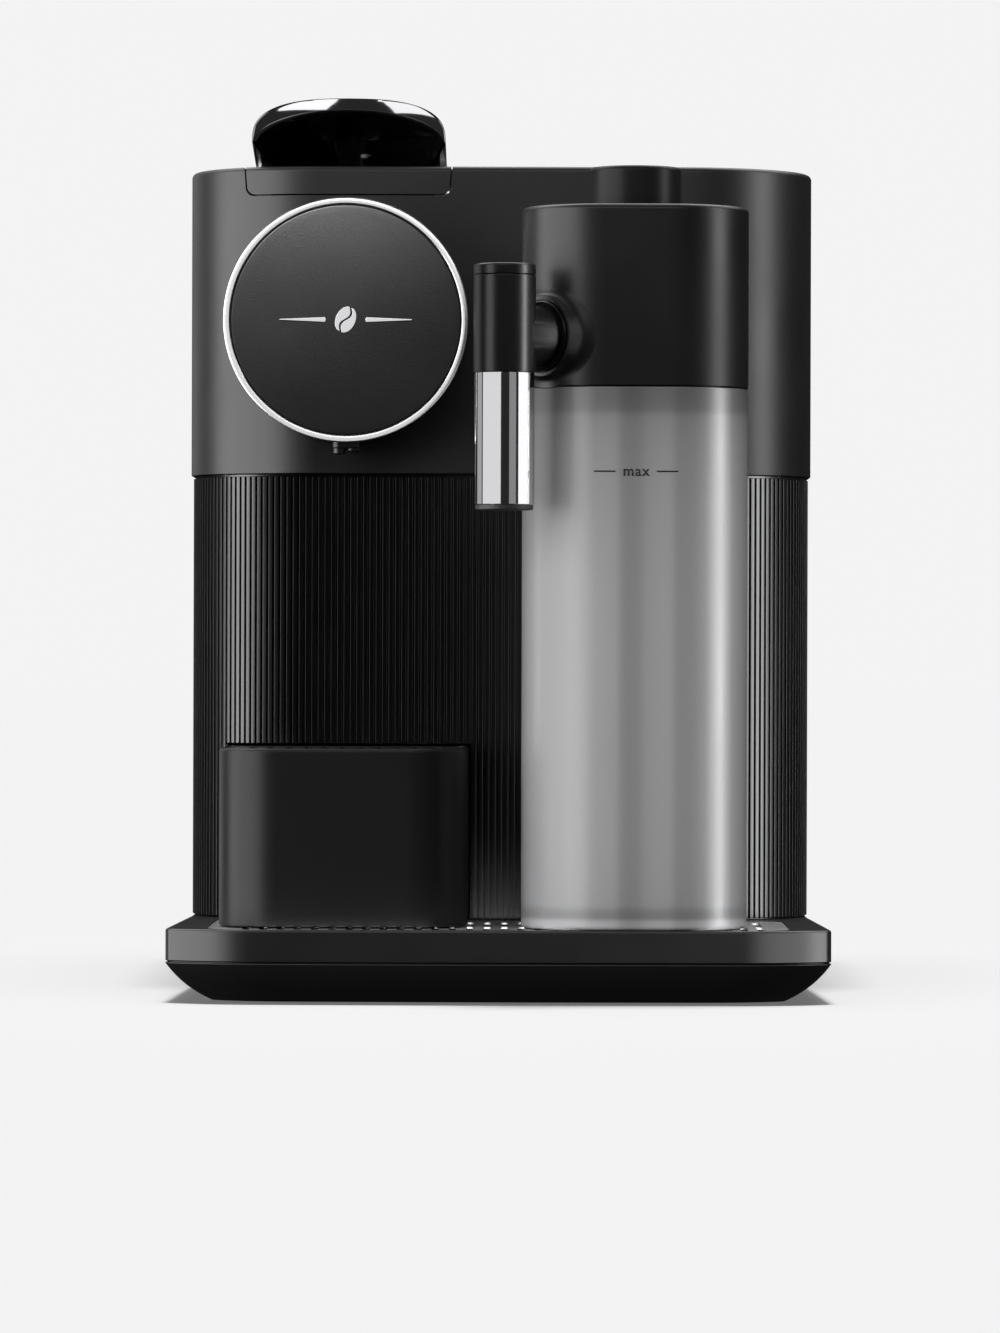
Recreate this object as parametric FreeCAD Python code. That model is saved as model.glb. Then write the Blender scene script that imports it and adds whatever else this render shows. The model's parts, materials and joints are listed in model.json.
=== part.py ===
import FreeCAD, Part
import math
import os

# Pod coffee machine with a milk container: one closed solid (or a group of identical ones) per node.
# Millimetres. +Z is up, the front faces -Y, +X is to the right seen from the front.
# The origin is the centre of the footprint, on the surface that the feet stand on.
# Depths are measured backwards from the front edge of the base: at() turns them into Y.

os.makedirs("parts", exist_ok=True)
V = FreeCAD.Vector
UP = V(0, 0, 1)
BACK = V(0, 1, 0)
RIGHT = V(1, 0, 0)

# ---- Driving dimensions ---------------------------------------------------------------------------
total_depth = 367.0          # front of the milk spout to the back of the water tank
spout_overhang = 13.2        # how far the spout stands in front of the base
gap = 0.3                    # between surfaces of different moving bodies
seam = 0.2                   # between fixed covers that meet edge to edge
bearing = 0.05               # radial clearance of a shaft that turns or slides in its hole

base_top = 22.5
band_bottom = 12.7           # the satin band runs from here to base_top
pan_bottom = 1.0             # the feet stand this far proud
bevel_inset = 13.6           # how far the pan tapers in below the band
bevel_sag = 1.2              # bulge of that taper

body_half = 97.8             # half width of the fluted lower body
body_front = 92.0            # depth of its flat front
body_corner = 40.0           # radius of its front vertical corners
body_rear = 306.0            # depth where the body ends and the tank bay starts
wall = 2.8
head_proud = 0.8             # the head stands this far outside the fluted body
head_bottom = 162.0
head_top = 258.3

rear_corner = 34.0           # radius of the vertical corners at the back of the machine
plinth_top = 60.0            # top of the housing below the water tank

brew_x = -48.0               # centre plane of lever, drum and brew unit
drum_z = 209.0
drum_radius = 38.0
drum_face = 67.0             # depth of the drum's front
ring_width = 2.0
disc_sag = 0.9               # height of the disc's dome

lever_half = 30.4
lever_top = 279.6
lever_front = 92.0
lever_thick = 2.0
lever_swing = 75.0           # degrees from closed to open
pivot_depth = 165.0
pivot_z = 252.0
barrel_radius = 12.6
axle_radius = 3.5
crank_radius = 26.0
crank_pin_radius = 2.5
yoke_play = 0.9              # the yoke's slot is wider than the pin by this on each side

container_x = 41.0
container_half = 34.2
container_front = 1.5
container_depth = 70.0
container_corner = 25.0
container_top = 186.0
container_wall = 1.8
lid_top = 241.0
collar_bottom = 176.4

knob_radius = 14.0
knob_depth = 31.0
knob_top = 253.6

arm_z = 201.2
arm_angle = 45.0             # the spout arm leaves the lid's rounded corner this far off the front
arm_radius = 9.0
boss_reach = 27.6            # end of the boss, from the centre of the lid's corner
collar_radius = 10.4         # collar on the arm that turns in the end of the boss
spout_radius = 9.35
spout_top = 222.3
spout_cap_seam = 219.0
sleeve_top = 189.8
sleeve_bottom = 150.2
sleeve_radius = 9.0
tip_bottom = 148.6

drawer_x = -47.5
drawer_half = 37.75
drawer_front = 16.0
drawer_corner = 18.0
drawer_top = 76.8
drawer_rear = 178.0

grid_half = 88.2
grid_pitch = 5.2
grid_slot = 2.1
tray_rear = 90.2

tank_front = 307.2
tank_wall = 2.2
tank_top = 246.0

base_front_y = spout_overhang - total_depth / 2
machine_depth = total_depth - spout_overhang


# ---- Helpers --------------------------------------------------------------------------------------
def at(depth):
    """Y of a point this far behind the base's front edge."""
    return base_front_y + depth


def block(x, depth, z):
    """A box between low and high values across, backwards and up."""
    size = [high - low for low, high in (x, depth, z)]
    return Part.makeBox(size[0], size[1], size[2], V(x[0], at(depth[0]), z[0]))


def rod(radius, start, end):
    """A cylinder between two points, each (x, depth, z)."""
    a = V(start[0], at(start[1]), start[2])
    b = V(end[0], at(end[1]), end[2])
    return Part.makeCylinder(radius, (b - a).Length, a, b - a)


def pipe(outer, inner, start, end):
    return rod(outer, start, end).cut(rod(inner, start, end))


def cone(radius_start, radius_end, start, end):
    a = V(start[0], at(start[1]), start[2])
    b = V(end[0], at(end[1]), end[2])
    return Part.makeCone(radius_start, radius_end, (b - a).Length, a, b - a)


def around(centre, half):
    return (centre - half, centre + half)


def slab(x, depth, z, front_radius, rear_radius):
    """An upright block whose vertical corners are rounded, front and rear pairs apart."""
    x0, x1 = x
    y0, y1 = at(depth[0]), at(depth[1])
    corners = [(x1 - front_radius, y0 + front_radius, front_radius, -90),
               (x1 - rear_radius, y1 - rear_radius, rear_radius, 0),
               (x0 + rear_radius, y1 - rear_radius, rear_radius, 90),
               (x0 + front_radius, y0 + front_radius, front_radius, 180)]
    edges = []
    ends = []
    for cx, cy, radius, start in corners:
        points = []
        for turn in (0, 45, 90):
            angle = math.radians(start + turn)
            points.append(V(cx + radius * math.cos(angle), cy + radius * math.sin(angle), z[0]))
        ends.append((points[0], points[2]))
        if radius > 0:
            edges.append(Part.Arc(*points).toShape())
    for i in range(4):
        leave = ends[i][1]
        arrive = ends[(i + 1) % 4][0]
        if (arrive - leave).Length > 1e-6:
            edges.append(Part.LineSegment(leave, arrive).toShape())
    wire = Part.Wire(Part.__sortEdges__(edges))
    return Part.Face(wire).extrude(UP * (z[1] - z[0]))


def prism_x(points, x):
    """Extrude a closed outline of (depth, z) points across the machine."""
    path = [V(x[0], at(depth), z) for depth, z in points]
    path.append(path[0])
    return Part.Face(Part.makePolygon(path)).extrude(RIGHT * (x[1] - x[0]))


def edges_at(shape, z, low_depth=-1000.0, high_depth=1000.0):
    """The edges that lie level at height z between two depths."""
    found = []
    for edge in shape.Edges:
        box = edge.BoundBox
        level = abs(box.ZMin - z) < 1e-3 and abs(box.ZMax - z) < 1e-3
        if level and box.YMin >= at(low_depth) and box.YMax <= at(high_depth):
            found.append(edge)
    return found


def fuse_all(shapes):
    result = shapes[0]
    for shape in shapes[1:]:
        result = result.fuse(shape)
    return result.removeSplitter()


def export(name, shape):
    """Write one node and say how many solids it holds."""
    solids = shape.Solids
    if not solids or not shape.isValid():
        raise RuntimeError(name + " is not a valid solid")
    keep = solids[0] if len(solids) == 1 else Part.makeCompound(solids)
    keep.exportStep("parts/" + name + ".step")
    print(name, len(solids), round(sum(solid.Volume for solid in solids)))


# ---- Base: pan, band, feet ------------------------------------------------------------------------
front_flat = 73.5            # the front edge is a very shallow arc to here, then turns back
front_bow = 1.5
shoulder_radius = 42.0
shoulder_turn = 40.0
tip_radius = 5.0
flush_depth = 121.0          # behind here the base is as wide as the body


def base_points():
    """Right half of the base's outline, as arcs and lines of (x, depth)."""
    bow_radius = (front_flat ** 2 + front_bow ** 2) / (2 * front_bow)
    start = math.degrees(math.asin(front_flat / bow_radius))
    side = 91.5

    def arc(origin, radius, low, high):
        points = []
        for angle in (low, (low + high) / 2, high):
            dx = math.sin(math.radians(angle)) - math.sin(math.radians(low))
            dy = math.cos(math.radians(low)) - math.cos(math.radians(angle))
            points.append((origin[0] + radius * dx, origin[1] + radius * dy))
        return points

    shoulder = arc((front_flat, front_bow), shoulder_radius, start, shoulder_turn)
    tip = arc(shoulder[2], tip_radius, shoulder_turn, side)
    flush = (body_half, flush_depth)
    rear = arc((body_half, machine_depth - rear_corner), rear_corner, 90, 180)
    return [shoulder, tip, [tip[2], flush], [flush, rear[0]], rear]


def base_outline(inset, z):
    """The base's outline drawn in by inset all round, as a wire at height z."""
    half_width = base_half()
    middle = machine_depth / 2
    scale_x = 1 - inset / half_width
    scale_y = 1 - inset / middle

    def place(point, side):
        depth = middle + (point[1] - middle) * scale_y
        return V(side * point[0] * scale_x, at(depth), z)

    edges = []
    runs = base_points()
    for side in (1, -1):
        for run in runs:
            points = [place(point, side) for point in run]
            if len(points) == 3:
                edges.append(Part.Arc(*points).toShape())
            else:
                edges.append(Part.LineSegment(*points).toShape())
    bow = [place((-front_flat, front_bow), 1), place((0, 0), 1), place((front_flat, front_bow), 1)]
    edges.append(Part.Arc(*bow).toShape())
    last = runs[-1][2]
    edges.append(Part.LineSegment(place(last, 1), place(last, -1)).toShape())
    return Part.Wire(Part.__sortEdges__(edges))


def base_half():
    """Widest half width of the base."""
    return base_points()[1][2][0]


def base_slab(inset, z):
    return Part.Face(base_outline(inset, z[0])).extrude(UP * (z[1] - z[0]))


foot_radius = 9.0
foot_places = [(x, depth) for x in (-70, 70) for depth in (34, 318)]
pan_screws = [(x, depth) for x in (-62, 62) for depth in (110, 200, 290)]
screw_radius = 3.2


def base_pan():
    sections = []
    steps = 6
    top = band_bottom - 2 * seam
    length = math.hypot(bevel_inset, top - pan_bottom)
    for i in range(steps + 1):
        t = i / steps
        bulge = 4 * bevel_sag * t * (1 - t)
        inset = bevel_inset * t - bulge * (top - pan_bottom) / length
        z = top - (top - pan_bottom) * t - bulge * bevel_inset / length
        sections.append(base_outline(max(inset, 0.0), z))
    pan = Part.makeLoft(sections, True, True)
    pan = pan.cut(slab((-80, 80), (20, machine_depth - 20), (4.0, top + 1), 16, 20))
    for x, depth in foot_places:
        pan = pan.cut(rod(foot_radius + 0.1, (x, depth, 0), (x, depth, 2.5)))
    for x, depth in pan_screws:
        pan = pan.cut(rod(screw_radius + 0.2, (x, depth, 0), (x, depth, 2.6)))
    return pan


def rubber_feet():
    feet = []
    for x, depth in foot_places:
        foot = rod(foot_radius, (x, depth, 0), (x, depth, 2.4))
        feet.append(foot.makeFillet(0.7, edges_at(foot, 0)))
    return Part.makeCompound(feet)


def chassis_screws():
    """Pan-head screws with a cross recess, seen from below."""
    screws = []
    for x, depth in pan_screws:
        screw = rod(screw_radius, (x, depth, 1.2), (x, depth, 2.5))
        for cut_x, cut_d in ((2.0, 0.4), (0.4, 2.0)):
            slot = block(around(x, cut_x), around(depth, cut_d), (1.0, 1.9))
            screw = screw.cut(slot)
        screws.append(screw)
    return Part.makeCompound(screws)


def base_rim():
    """The satin band round the sides and back, with a floor-less inside."""
    keep = block((-120, 120), (tray_rear + gap, 400), (band_bottom, base_top))
    rim = base_slab(0, (band_bottom, base_top)).common(keep)
    rim = rim.cut(slab((-92, 92), (tray_rear + 6, machine_depth - 4), (12, 23), 20, rear_corner - 4))
    for x, depth in pan_screws:
        rim = rim.cut(rod(screw_radius, (x, depth, 12), (x, depth, 15)))
    return rim


# ---- Drip tray and its grid -----------------------------------------------------------------------
tray_side = 86.0
tray_front = 5.5
grid_top = base_top - 0.2
grid_thick = 1.0


def drip_tray():
    keep = block((-120, 120), (-10, tray_rear), (band_bottom, base_top))
    tray = base_slab(0, (band_bottom, base_top)).common(keep)
    tray = tray.makeFillet(0.8, edges_at(tray, base_top, -5, tray_rear - 1))
    basin = slab((-tray_side, tray_side), (tray_front, 86), (band_bottom + 1.8, 30), 14, 4)
    ledge = slab((-grid_half - 0.2, grid_half + 0.2), (3.1, 88.4), (grid_top - grid_thick, 30), 16, 4)
    return tray.cut(basin).cut(ledge)


def drip_grid():
    plate = slab((-grid_half, grid_half), (3.3, 88.2), (grid_top - grid_thick, grid_top), 16, 4)
    first_bar = -0.95
    slots = []
    count = int(grid_half / grid_pitch)
    for i in range(-count + 1, count):
        x = first_bar + (i + 0.5) * grid_pitch
        for low, high in ((10.5, 41.0), (47.0, 77.5)):
            slots.append(block(around(x, grid_slot / 2), (low, high), (20, 23)))
    return plate.cut(Part.makeCompound(slots))


# ---- Fluted body and head -------------------------------------------------------------------------
def shell(half, front, corner, z, rear=body_rear):
    """Front and side walls, open at the back, top and bottom."""
    outer = slab((-half, half), (front, rear), z, corner, 0)
    inner = slab((wall - half, half - wall), (front + wall, rear + 5), (z[0] - 1, z[1] + 1),
                 corner - wall, 0)
    return outer.cut(inner)


def fluted_panel():
    panel = shell(body_half, body_front, body_corner, (base_top + seam, head_bottom - seam))
    mouth = block(around(drawer_x, drawer_half + 0.6), (80, 110), (20, drawer_top + 0.8))
    return panel.cut(mouth)


touch_x = (6.0, 86.0)
touch_depth = (150.0, 286.0)
touch_thick = 1.6
bay_half = lever_half + 0.8
bay_depth = (104.0, pivot_depth + barrel_radius + 1.2)
cover_half = 32.6
cover_bottom = 249.4
cover_lean = 0.6             # each flank of the cover leans in by this much
cover_radius = 2.8
cover_wall = 2.4
cover_rear = bay_depth[0]
socket_x = container_x
socket_z = 205.0
socket_radius = 11.0


def cover_notch(grow):
    """The space of the small cover below the lever, grown a little for its seam."""
    front = at(body_front - head_proud - 2)
    low = cover_bottom - grow
    corners = [(cover_half + grow, head_top + 2), (-cover_half - grow, head_top + 2),
               (cover_lean - cover_half - grow, low), (cover_half + grow - cover_lean, low)]
    path = [V(brew_x + x, front, z) for x, z in corners + corners[:1]]
    notch = Part.Face(Part.makePolygon(path)).extrude(BACK * (cover_rear + 3 - body_front + head_proud))
    lower = []
    for edge in notch.Edges:
        box = edge.BoundBox
        if box.YLength > 10 and box.ZMax < low + 1e-3:
            lower.append(edge)
    return notch.makeFillet(cover_radius, lower)


def head_blank():
    """Outside of the head, with its softened top edge."""
    half = body_half + head_proud
    front = body_front - head_proud
    head = slab((-half, half), (front, body_rear), (head_bottom, head_top), body_corner + head_proud, 0)
    return head.makeFillet(1.6, edges_at(head, head_top, -5, body_rear - 0.5))


def head_shell():
    half = body_half + head_proud
    front = body_front - head_proud
    inner = slab((wall - half, half - wall), (front + wall, body_rear + 5),
                 (head_bottom - 1, head_top - wall), body_corner + head_proud - wall, 0)
    head = head_blank().cut(inner)
    head = head.cut(cover_notch(seam))
    head = head.cut(slab(around(brew_x, bay_half), bay_depth, (240, 270), 3, 1.5))
    head = head.cut(slab((touch_x[0] - seam, touch_x[1] + seam),
                         (touch_depth[0] - seam, touch_depth[1] + seam),
                         (head_top - touch_thick, 270), 8, 8))
    head = head.cut(slab((touch_x[0] + 4, touch_x[1] - 4), (touch_depth[0] + 4, touch_depth[1] - 4),
                         (head_top - wall - 1, 270), 5, 5))
    head = head.cut(rod(socket_radius + seam, (socket_x, 80, socket_z), (socket_x, 100, socket_z)))
    return head.cut(rod(8.2, (brew_x, 80, drum_z), (brew_x, 100, drum_z)))


def brew_cover():
    """Small angled cover in front of the lever: a front lip and a top ledge."""
    half = body_half + head_proud - cover_wall
    inner = slab((-half, half), (body_front - head_proud + cover_wall, body_rear),
                 (head_bottom, head_top - cover_wall), body_corner + head_proud - cover_wall, 0)
    solid = head_blank().common(cover_notch(0.0))
    keep = block((-120, 50), (80, cover_rear - seam), (240, 270))
    return solid.common(keep).cut(inner)


def touch_panel():
    """Flat glass key panel let into the roof."""
    return slab(touch_x, touch_depth, (head_top - touch_thick + 0.05, head_top + 0.1), 8, 8)


def control_board():
    board = block((12, 84), (158, 280), (246, 247.6))
    chips = [block(around(x, 6), around(depth, 6), (242.8, 246)) for x in (28, 62) for depth in (185,
                                                                                                 240)]
    posts = [rod(2.5, (x, depth, 247), (x, depth, head_top - wall)) for x in (16,
                                                                              80) for depth in (162, 276)]
    return fuse_all([board] + chips + posts)


def rear_panel():
    """Upright wall between the body and the water tank."""
    half = body_half - wall - 0.4
    panel = block((-half, half), (body_rear - 3.2, body_rear - 0.4),
                  (base_top + seam, head_top - wall - seam))
    vents = []
    for i in range(6):
        z = 90 + 8 * i
        vents.append(block((-60, 60), (body_rear - 5, body_rear + 1), (z, z + 3)))
    hose_hole = rod(4.0, (hose_hole_x, body_rear - 6, hose_hole_z),
                    (hose_hole_x, body_rear + 2, hose_hole_z))
    return panel.cut(Part.makeCompound(vents)).cut(hose_hole)


hose_hole_x = -78.0
hose_hole_z = 32.0
seat_x = 0.0
seat_depth = 331.0
gland_z = 34.0
gland_x = -50.0


def rear_plinth():
    """Closed housing below the tank, where the mains lead comes in."""
    outer = slab((-body_half, body_half), (body_rear, machine_depth), (base_top + seam, plinth_top), 0,
                 rear_corner)
    outer = outer.makeFillet(1.2, edges_at(outer, plinth_top, body_rear + 0.5, 400))
    inner = slab((wall - body_half, body_half - wall), (body_rear - 1, machine_depth - wall),
                 (base_top, plinth_top - wall), 0, rear_corner - wall)
    plinth = outer.cut(inner)
    plinth = plinth.cut(rod(6.1, (gland_x, machine_depth - 10, gland_z),
                            (gland_x, machine_depth + 5, gland_z)))
    return plinth.cut(rod(9.0, (seat_x, seat_depth, 50), (seat_x, seat_depth, 65)))


def power_gland():
    """Bushed hole for the mains lead. The lead itself is not part of the model."""
    y = machine_depth
    neck = rod(6.0, (gland_x, y, gland_z), (gland_x, y - 9, gland_z))
    nut = rod(8.5, (gland_x, y - wall, gland_z), (gland_x, y - wall - 3, gland_z))
    return neck.fuse(nut).cut(rod(3.6, (gland_x, y - 6, gland_z),
                                  (gland_x, y + 1, gland_z))).removeSplitter()


# ---- Front drum with the coffee outlet ------------------------------------------------------------
def drum_housing():
    rear = body_front - head_proud
    outer = rod(drum_radius - 0.2, (brew_x, drum_face + 2.6, drum_z), (brew_x, rear, drum_z))
    inner = rod(drum_radius - 3.2, (brew_x, drum_face, drum_z), (brew_x, rear - 3, drum_z))
    spigot = rod(8.0, (brew_x, rear - 3, drum_z), (brew_x, rear + 9, drum_z))
    bore = rod(3.0, (brew_x, rear - 4, drum_z), (brew_x, rear + 10, drum_z))
    outlet = block(around(brew_x, 4.6), (73, 87), (drum_z - 39, drum_z - 30))
    return outer.cut(inner).fuse(spigot).cut(bore).cut(outlet)


def drum_ring():
    """Bright trim ring with a fine groove between two lands."""
    ring = pipe(drum_radius, drum_radius - ring_width, (brew_x, drum_face, drum_z),
                (brew_x, drum_face + 2.4, drum_z))
    groove = pipe(drum_radius - 1.0, drum_radius - 1.25, (brew_x, drum_face - 1, drum_z),
                  (brew_x, drum_face + 0.3, drum_z))
    return ring.cut(groove)


def drum_disc():
    """Slightly domed front plate inside the ring."""
    radius = drum_radius - ring_width - 0.15
    sphere_radius = (radius ** 2 + disc_sag ** 2) / (2 * disc_sag)
    crown = drum_face + 0.7 - disc_sag
    plate = rod(radius, (brew_x, crown, drum_z), (brew_x, drum_face + 2.5, drum_z))
    dome = Part.makeSphere(sphere_radius, V(brew_x, at(crown) + sphere_radius, drum_z))
    return plate.common(dome)


def coffee_nozzle():
    """Two outlets side by side under the drum, fed from the brew unit through the drum."""
    body = block(around(brew_x, 4.2), (74, 86), (169.6, 184))
    left = block((brew_x - 4.0, brew_x - 0.3), (75, 85), (167.6, 170))
    right = block((brew_x + 0.3, brew_x + 4.0), (75, 85), (168.4, 170))
    duct = rod(2.9, (brew_x, 80, 183), (brew_x, 80, drum_z))
    feed = rod(2.9, (brew_x, 77, drum_z), (brew_x, 97, drum_z))
    nozzle = fuse_all([body, left, right, duct, feed])
    for x in (brew_x - 2.1, brew_x + 2.1):
        nozzle = nozzle.cut(rod(1.3, (x, 80, 160), (x, 80, 180)))
    return nozzle


# ---- Lever ----------------------------------------------------------------------------------------
lever_arch = 2.8             # exponent of the lever's superellipse section
lever_fall = 3.2             # how late its top turns down towards the barrel
lever_flank = 266.6          # bottom edge of the flanks at the front
lever_rear_z = 259.0         # bottom edge of the flanks at the back
lever_slope_end = 150.0
lever_stations = 9
lever_section_steps = 14


def lever_section(depth, inset):
    """Arch across the lever at one depth: upright flanks under a superellipse."""
    t = max((depth - lever_front) / (pivot_depth - lever_front), 0.0)
    radius = barrel_radius + 0.4
    if t <= 1:
        top = lever_top - (lever_top - pivot_z - radius) * t ** lever_fall
    else:
        top = pivot_z + math.sqrt(radius ** 2 - (depth - pivot_depth) ** 2)
    slope = min(max((depth - lever_front) / (lever_slope_end - lever_front), 0.0), 1.0)
    bottom = lever_flank + (lever_rear_z - lever_flank) * slope
    half = lever_half - inset
    top = top - inset
    low = bottom if inset == 0 else bottom - 3
    points = [V(brew_x - half, at(depth), low)]
    for i in range(lever_section_steps + 1):
        angle = math.pi * (1 - i / lever_section_steps)
        c, s = math.cos(angle), math.sin(angle)
        x = math.copysign(abs(c) ** (2 / lever_arch), c) * half
        points.append(V(brew_x + x, at(depth), bottom + abs(s) ** (2 / lever_arch) * (top - bottom)))
    points.append(V(brew_x + half, at(depth), low))
    points.append(points[0])
    return Part.makePolygon(points)


def hood(inset, first=lever_front, last=pivot_depth + 10.6):
    """The lever's outside, or the same drawn in by inset, between two depths."""
    depths = [first + (last - first) * i / (lever_stations - 1) for i in range(lever_stations)]
    return Part.makeLoft([lever_section(depth, inset) for depth in depths], True, True)


def lever_shell():
    """Chromed outer skin of the lever."""
    return hood(0.0).cut(hood(lever_thick, lever_front - 0.01, pivot_depth + 8.6))


def lever_liner():
    """Black inner skin, the barrel it turns about and the web between them."""
    rear = pivot_depth + 8.4
    above = block(around(brew_x, 40), (80, 200), (lever_rear_z, 300))
    ramp = [(lever_front - 1, lever_flank), (lever_slope_end, lever_rear_z), (lever_slope_end, 240),
            (80, 240),
            (80, lever_flank)]
    skin = hood(lever_thick + 0.25, lever_front + 0.2,
                rear).common(above).cut(prism_x(ramp, around(brew_x, 40)))
    scoop = hood(lever_thick * 2, lever_front - 1, 148.0)
    skin = skin.cut(scoop)
    barrel = rod(barrel_radius - 0.6, (brew_x - 26.2, pivot_depth, pivot_z),
                 (brew_x + 26.2, pivot_depth, pivot_z))
    barrel = barrel.cut(above)
    liner = skin.fuse(barrel).removeSplitter()
    return liner.cut(rod(axle_radius, (brew_x - 40, pivot_depth, pivot_z),
                         (brew_x + 40, pivot_depth, pivot_z)))


housing_inner = 33.0
housing_outer = 36.0
housing_front = 110.0
housing_rear = 200.0


def lever_axle():
    reach = housing_outer - 0.2
    return rod(axle_radius, (brew_x - reach, pivot_depth, pivot_z),
               (brew_x + reach, pivot_depth, pivot_z))


def crank_pin():
    """Depth and height of the crank pin with the lever closed."""
    angle = math.radians(lever_swing / 2)
    return pivot_depth + crank_radius * math.sin(angle), pivot_z - crank_radius * math.cos(angle)


def lever_cranks():
    """A crank on each end of the barrel, with the pin that drives the yoke."""
    pin_depth, pin_z = crank_pin()
    cranks = []
    for side in (-1, 1):
        inner = brew_x + side * 26.4
        outer = brew_x + side * 29.4
        hub = rod(6.2, (inner, pivot_depth, pivot_z), (outer, pivot_depth, pivot_z))
        eye = rod(4.5, (inner, pin_depth, pin_z), (outer, pin_depth, pin_z))
        length = math.hypot(pin_depth - pivot_depth, pin_z - pivot_z)
        across = V(0, (pivot_z - pin_z) / length, (pin_depth - pivot_depth) / length) * 3.6
        a = V(min(inner, outer), at(pivot_depth), pivot_z)
        b = V(min(inner, outer), at(pin_depth), pin_z)
        web = Part.Face(Part.makePolygon([a + across, b + across, b - across, a - across, a + across]))
        web = web.extrude(RIGHT * 3.0)
        pin = rod(crank_pin_radius, (outer, pin_depth, pin_z), (brew_x + side * 22.4, pin_depth, pin_z))
        crank = fuse_all([hub, eye, web, pin])
        cranks.append(crank.cut(rod(axle_radius, (inner - side, pivot_depth, pivot_z),
                                    (outer + side, pivot_depth, pivot_z))))
    return Part.makeCompound(cranks)


# ---- Brew unit ------------------------------------------------------------------------------------
cage_depth = (146.6, 178.0)
cage_radius = 19.5
carriage_depth = (134.0, 146.0)
yoke_inner = 22.6
yoke_outer = 25.8


def brew_housing():
    """Two side plates with the lever's bearings, joined by cross bars and a back plate."""
    parts = []
    for side in (-1, 1):
        x = sorted((brew_x + side * housing_inner, brew_x + side * housing_outer))
        parts.append(block(x, (housing_front, housing_rear), (172, 254)))
    across = around(brew_x, housing_outer)
    parts.append(block(across, (housing_rear - 4, housing_rear), (172, 240)))
    parts.append(block(across, (housing_front, housing_front + 3), (172, 186)))
    parts.append(block(across, (housing_front, housing_front + 3), (230, 246)))
    parts.append(block(across, (152, housing_rear - 2), (172, 175)))
    housing = fuse_all(parts)
    bearing_hole = rod(axle_radius + bearing, (brew_x - 50, pivot_depth, pivot_z),
                       (brew_x + 50, pivot_depth, pivot_z))
    water_hole = rod(2.2, (brew_x, housing_rear - 6, drum_z), (brew_x, housing_rear + 2, drum_z))
    return housing.cut(bearing_hole).cut(water_hole)


def capsule_cage():
    """Fixed cup that holds the capsule, on a post to the back plate."""
    cup = rod(cage_radius, (brew_x, cage_depth[0], drum_z), (brew_x, cage_depth[1], drum_z))
    hollow = cone(15.6, 12.0, (brew_x, cage_depth[0] - 0.01, drum_z), (brew_x, cage_depth[1] - 5, drum_z))
    post = block(around(brew_x, 10), (cage_depth[1] - 1, housing_rear - 4), (drum_z - 10, drum_z + 10))
    inlet = rod(2.0, (brew_x, cage_depth[1] - 8, drum_z), (brew_x, housing_rear, drum_z))
    return cup.fuse(post).cut(hollow).cut(inlet).removeSplitter()


def brew_carriage():
    """Sliding yoke: cross plate, two arms past the cage, and a slot for each crank pin."""
    pin_depth, pin_z = crank_pin()
    low_z = pivot_z - crank_radius
    parts = [block(around(brew_x, yoke_outer), carriage_depth, (drum_z - 17, drum_z + 17))]
    for side in (-1, 1):
        x = sorted((brew_x + side * yoke_inner, brew_x + side * yoke_outer))
        parts.append(block(x, (carriage_depth[0], pin_depth + 7), (drum_z - 6, drum_z + 10)))
        parts.append(block(x, (pin_depth - 7, pin_depth + 7), (drum_z - 6, pin_z + 6)))
    carriage = fuse_all(parts)
    half_slot = crank_pin_radius + yoke_play
    slot = block(around(brew_x, 40), around(pin_depth, half_slot),
                 (low_z - crank_pin_radius - 0.8, pin_z + crank_pin_radius + 0.8))
    carriage = carriage.cut(slot)
    return carriage.cut(rod(15.0, (brew_x, carriage_depth[1] - 3, drum_z),
                            (brew_x, carriage_depth[1] + 1, drum_z)))


def piercing_plate():
    """Disc with pyramid points that opens the capsule's foil."""
    plate = rod(14.9, (brew_x, carriage_depth[1] - 3, drum_z), (brew_x, carriage_depth[1] - 1.6, drum_z))
    points = []
    for i in range(-3, 4):
        for j in range(-3, 4):
            if math.hypot(i, j) < 3.4:
                centre = (brew_x + 3.8 * i, drum_z + 3.8 * j)
                points.append(cone(1.1, 0.3, (centre[0], carriage_depth[1] - 1.7, centre[1]),
                                   (centre[0], carriage_depth[1] - 0.3, centre[1])))
    return plate.fuse(points)


# ---- Capsule drawer with the raised cup stand -----------------------------------------------------
drawer_floor = base_top + 0.3
drawer_wall = 2.2
divider = (86.0, 88.2)


def capsule_drawer():
    x = around(drawer_x, drawer_half)
    outer = slab(x, (drawer_front, drawer_rear), (drawer_floor, drawer_top), drawer_corner, 6)
    outer = outer.makeFillet(1.2, edges_at(outer, drawer_top, 0, 92))
    x_in = (x[0] + drawer_wall, x[1] - drawer_wall)
    front_pocket = slab(x_in, (drawer_front + drawer_wall, divider[0]), (drawer_top - 16, drawer_top + 5),
                        drawer_corner - drawer_wall, 2)
    rear_pocket = slab(x_in, (divider[1], drawer_rear - drawer_wall),
                       (drawer_floor + 2.2, drawer_top + 5), 3, 4)
    lower_trim = block((x[0] - 1, x[1] + 1), (100, 200), (drawer_top - 4, drawer_top + 5))
    ledge = slab((x[0] + 1.4, x[1] - 1.4), (drawer_front + 1.4, divider[1] - 0.8),
                 (drawer_top - 1.6, drawer_top + 5),
                 drawer_corner - 1.4, 2)
    under = slab(x_in, (drawer_front + drawer_wall, divider[0]), (drawer_floor - 1, drawer_top - 19),
                 drawer_corner - drawer_wall, 2)
    return outer.cut(front_pocket).cut(rear_pocket).cut(lower_trim).cut(ledge).cut(under)


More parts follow.
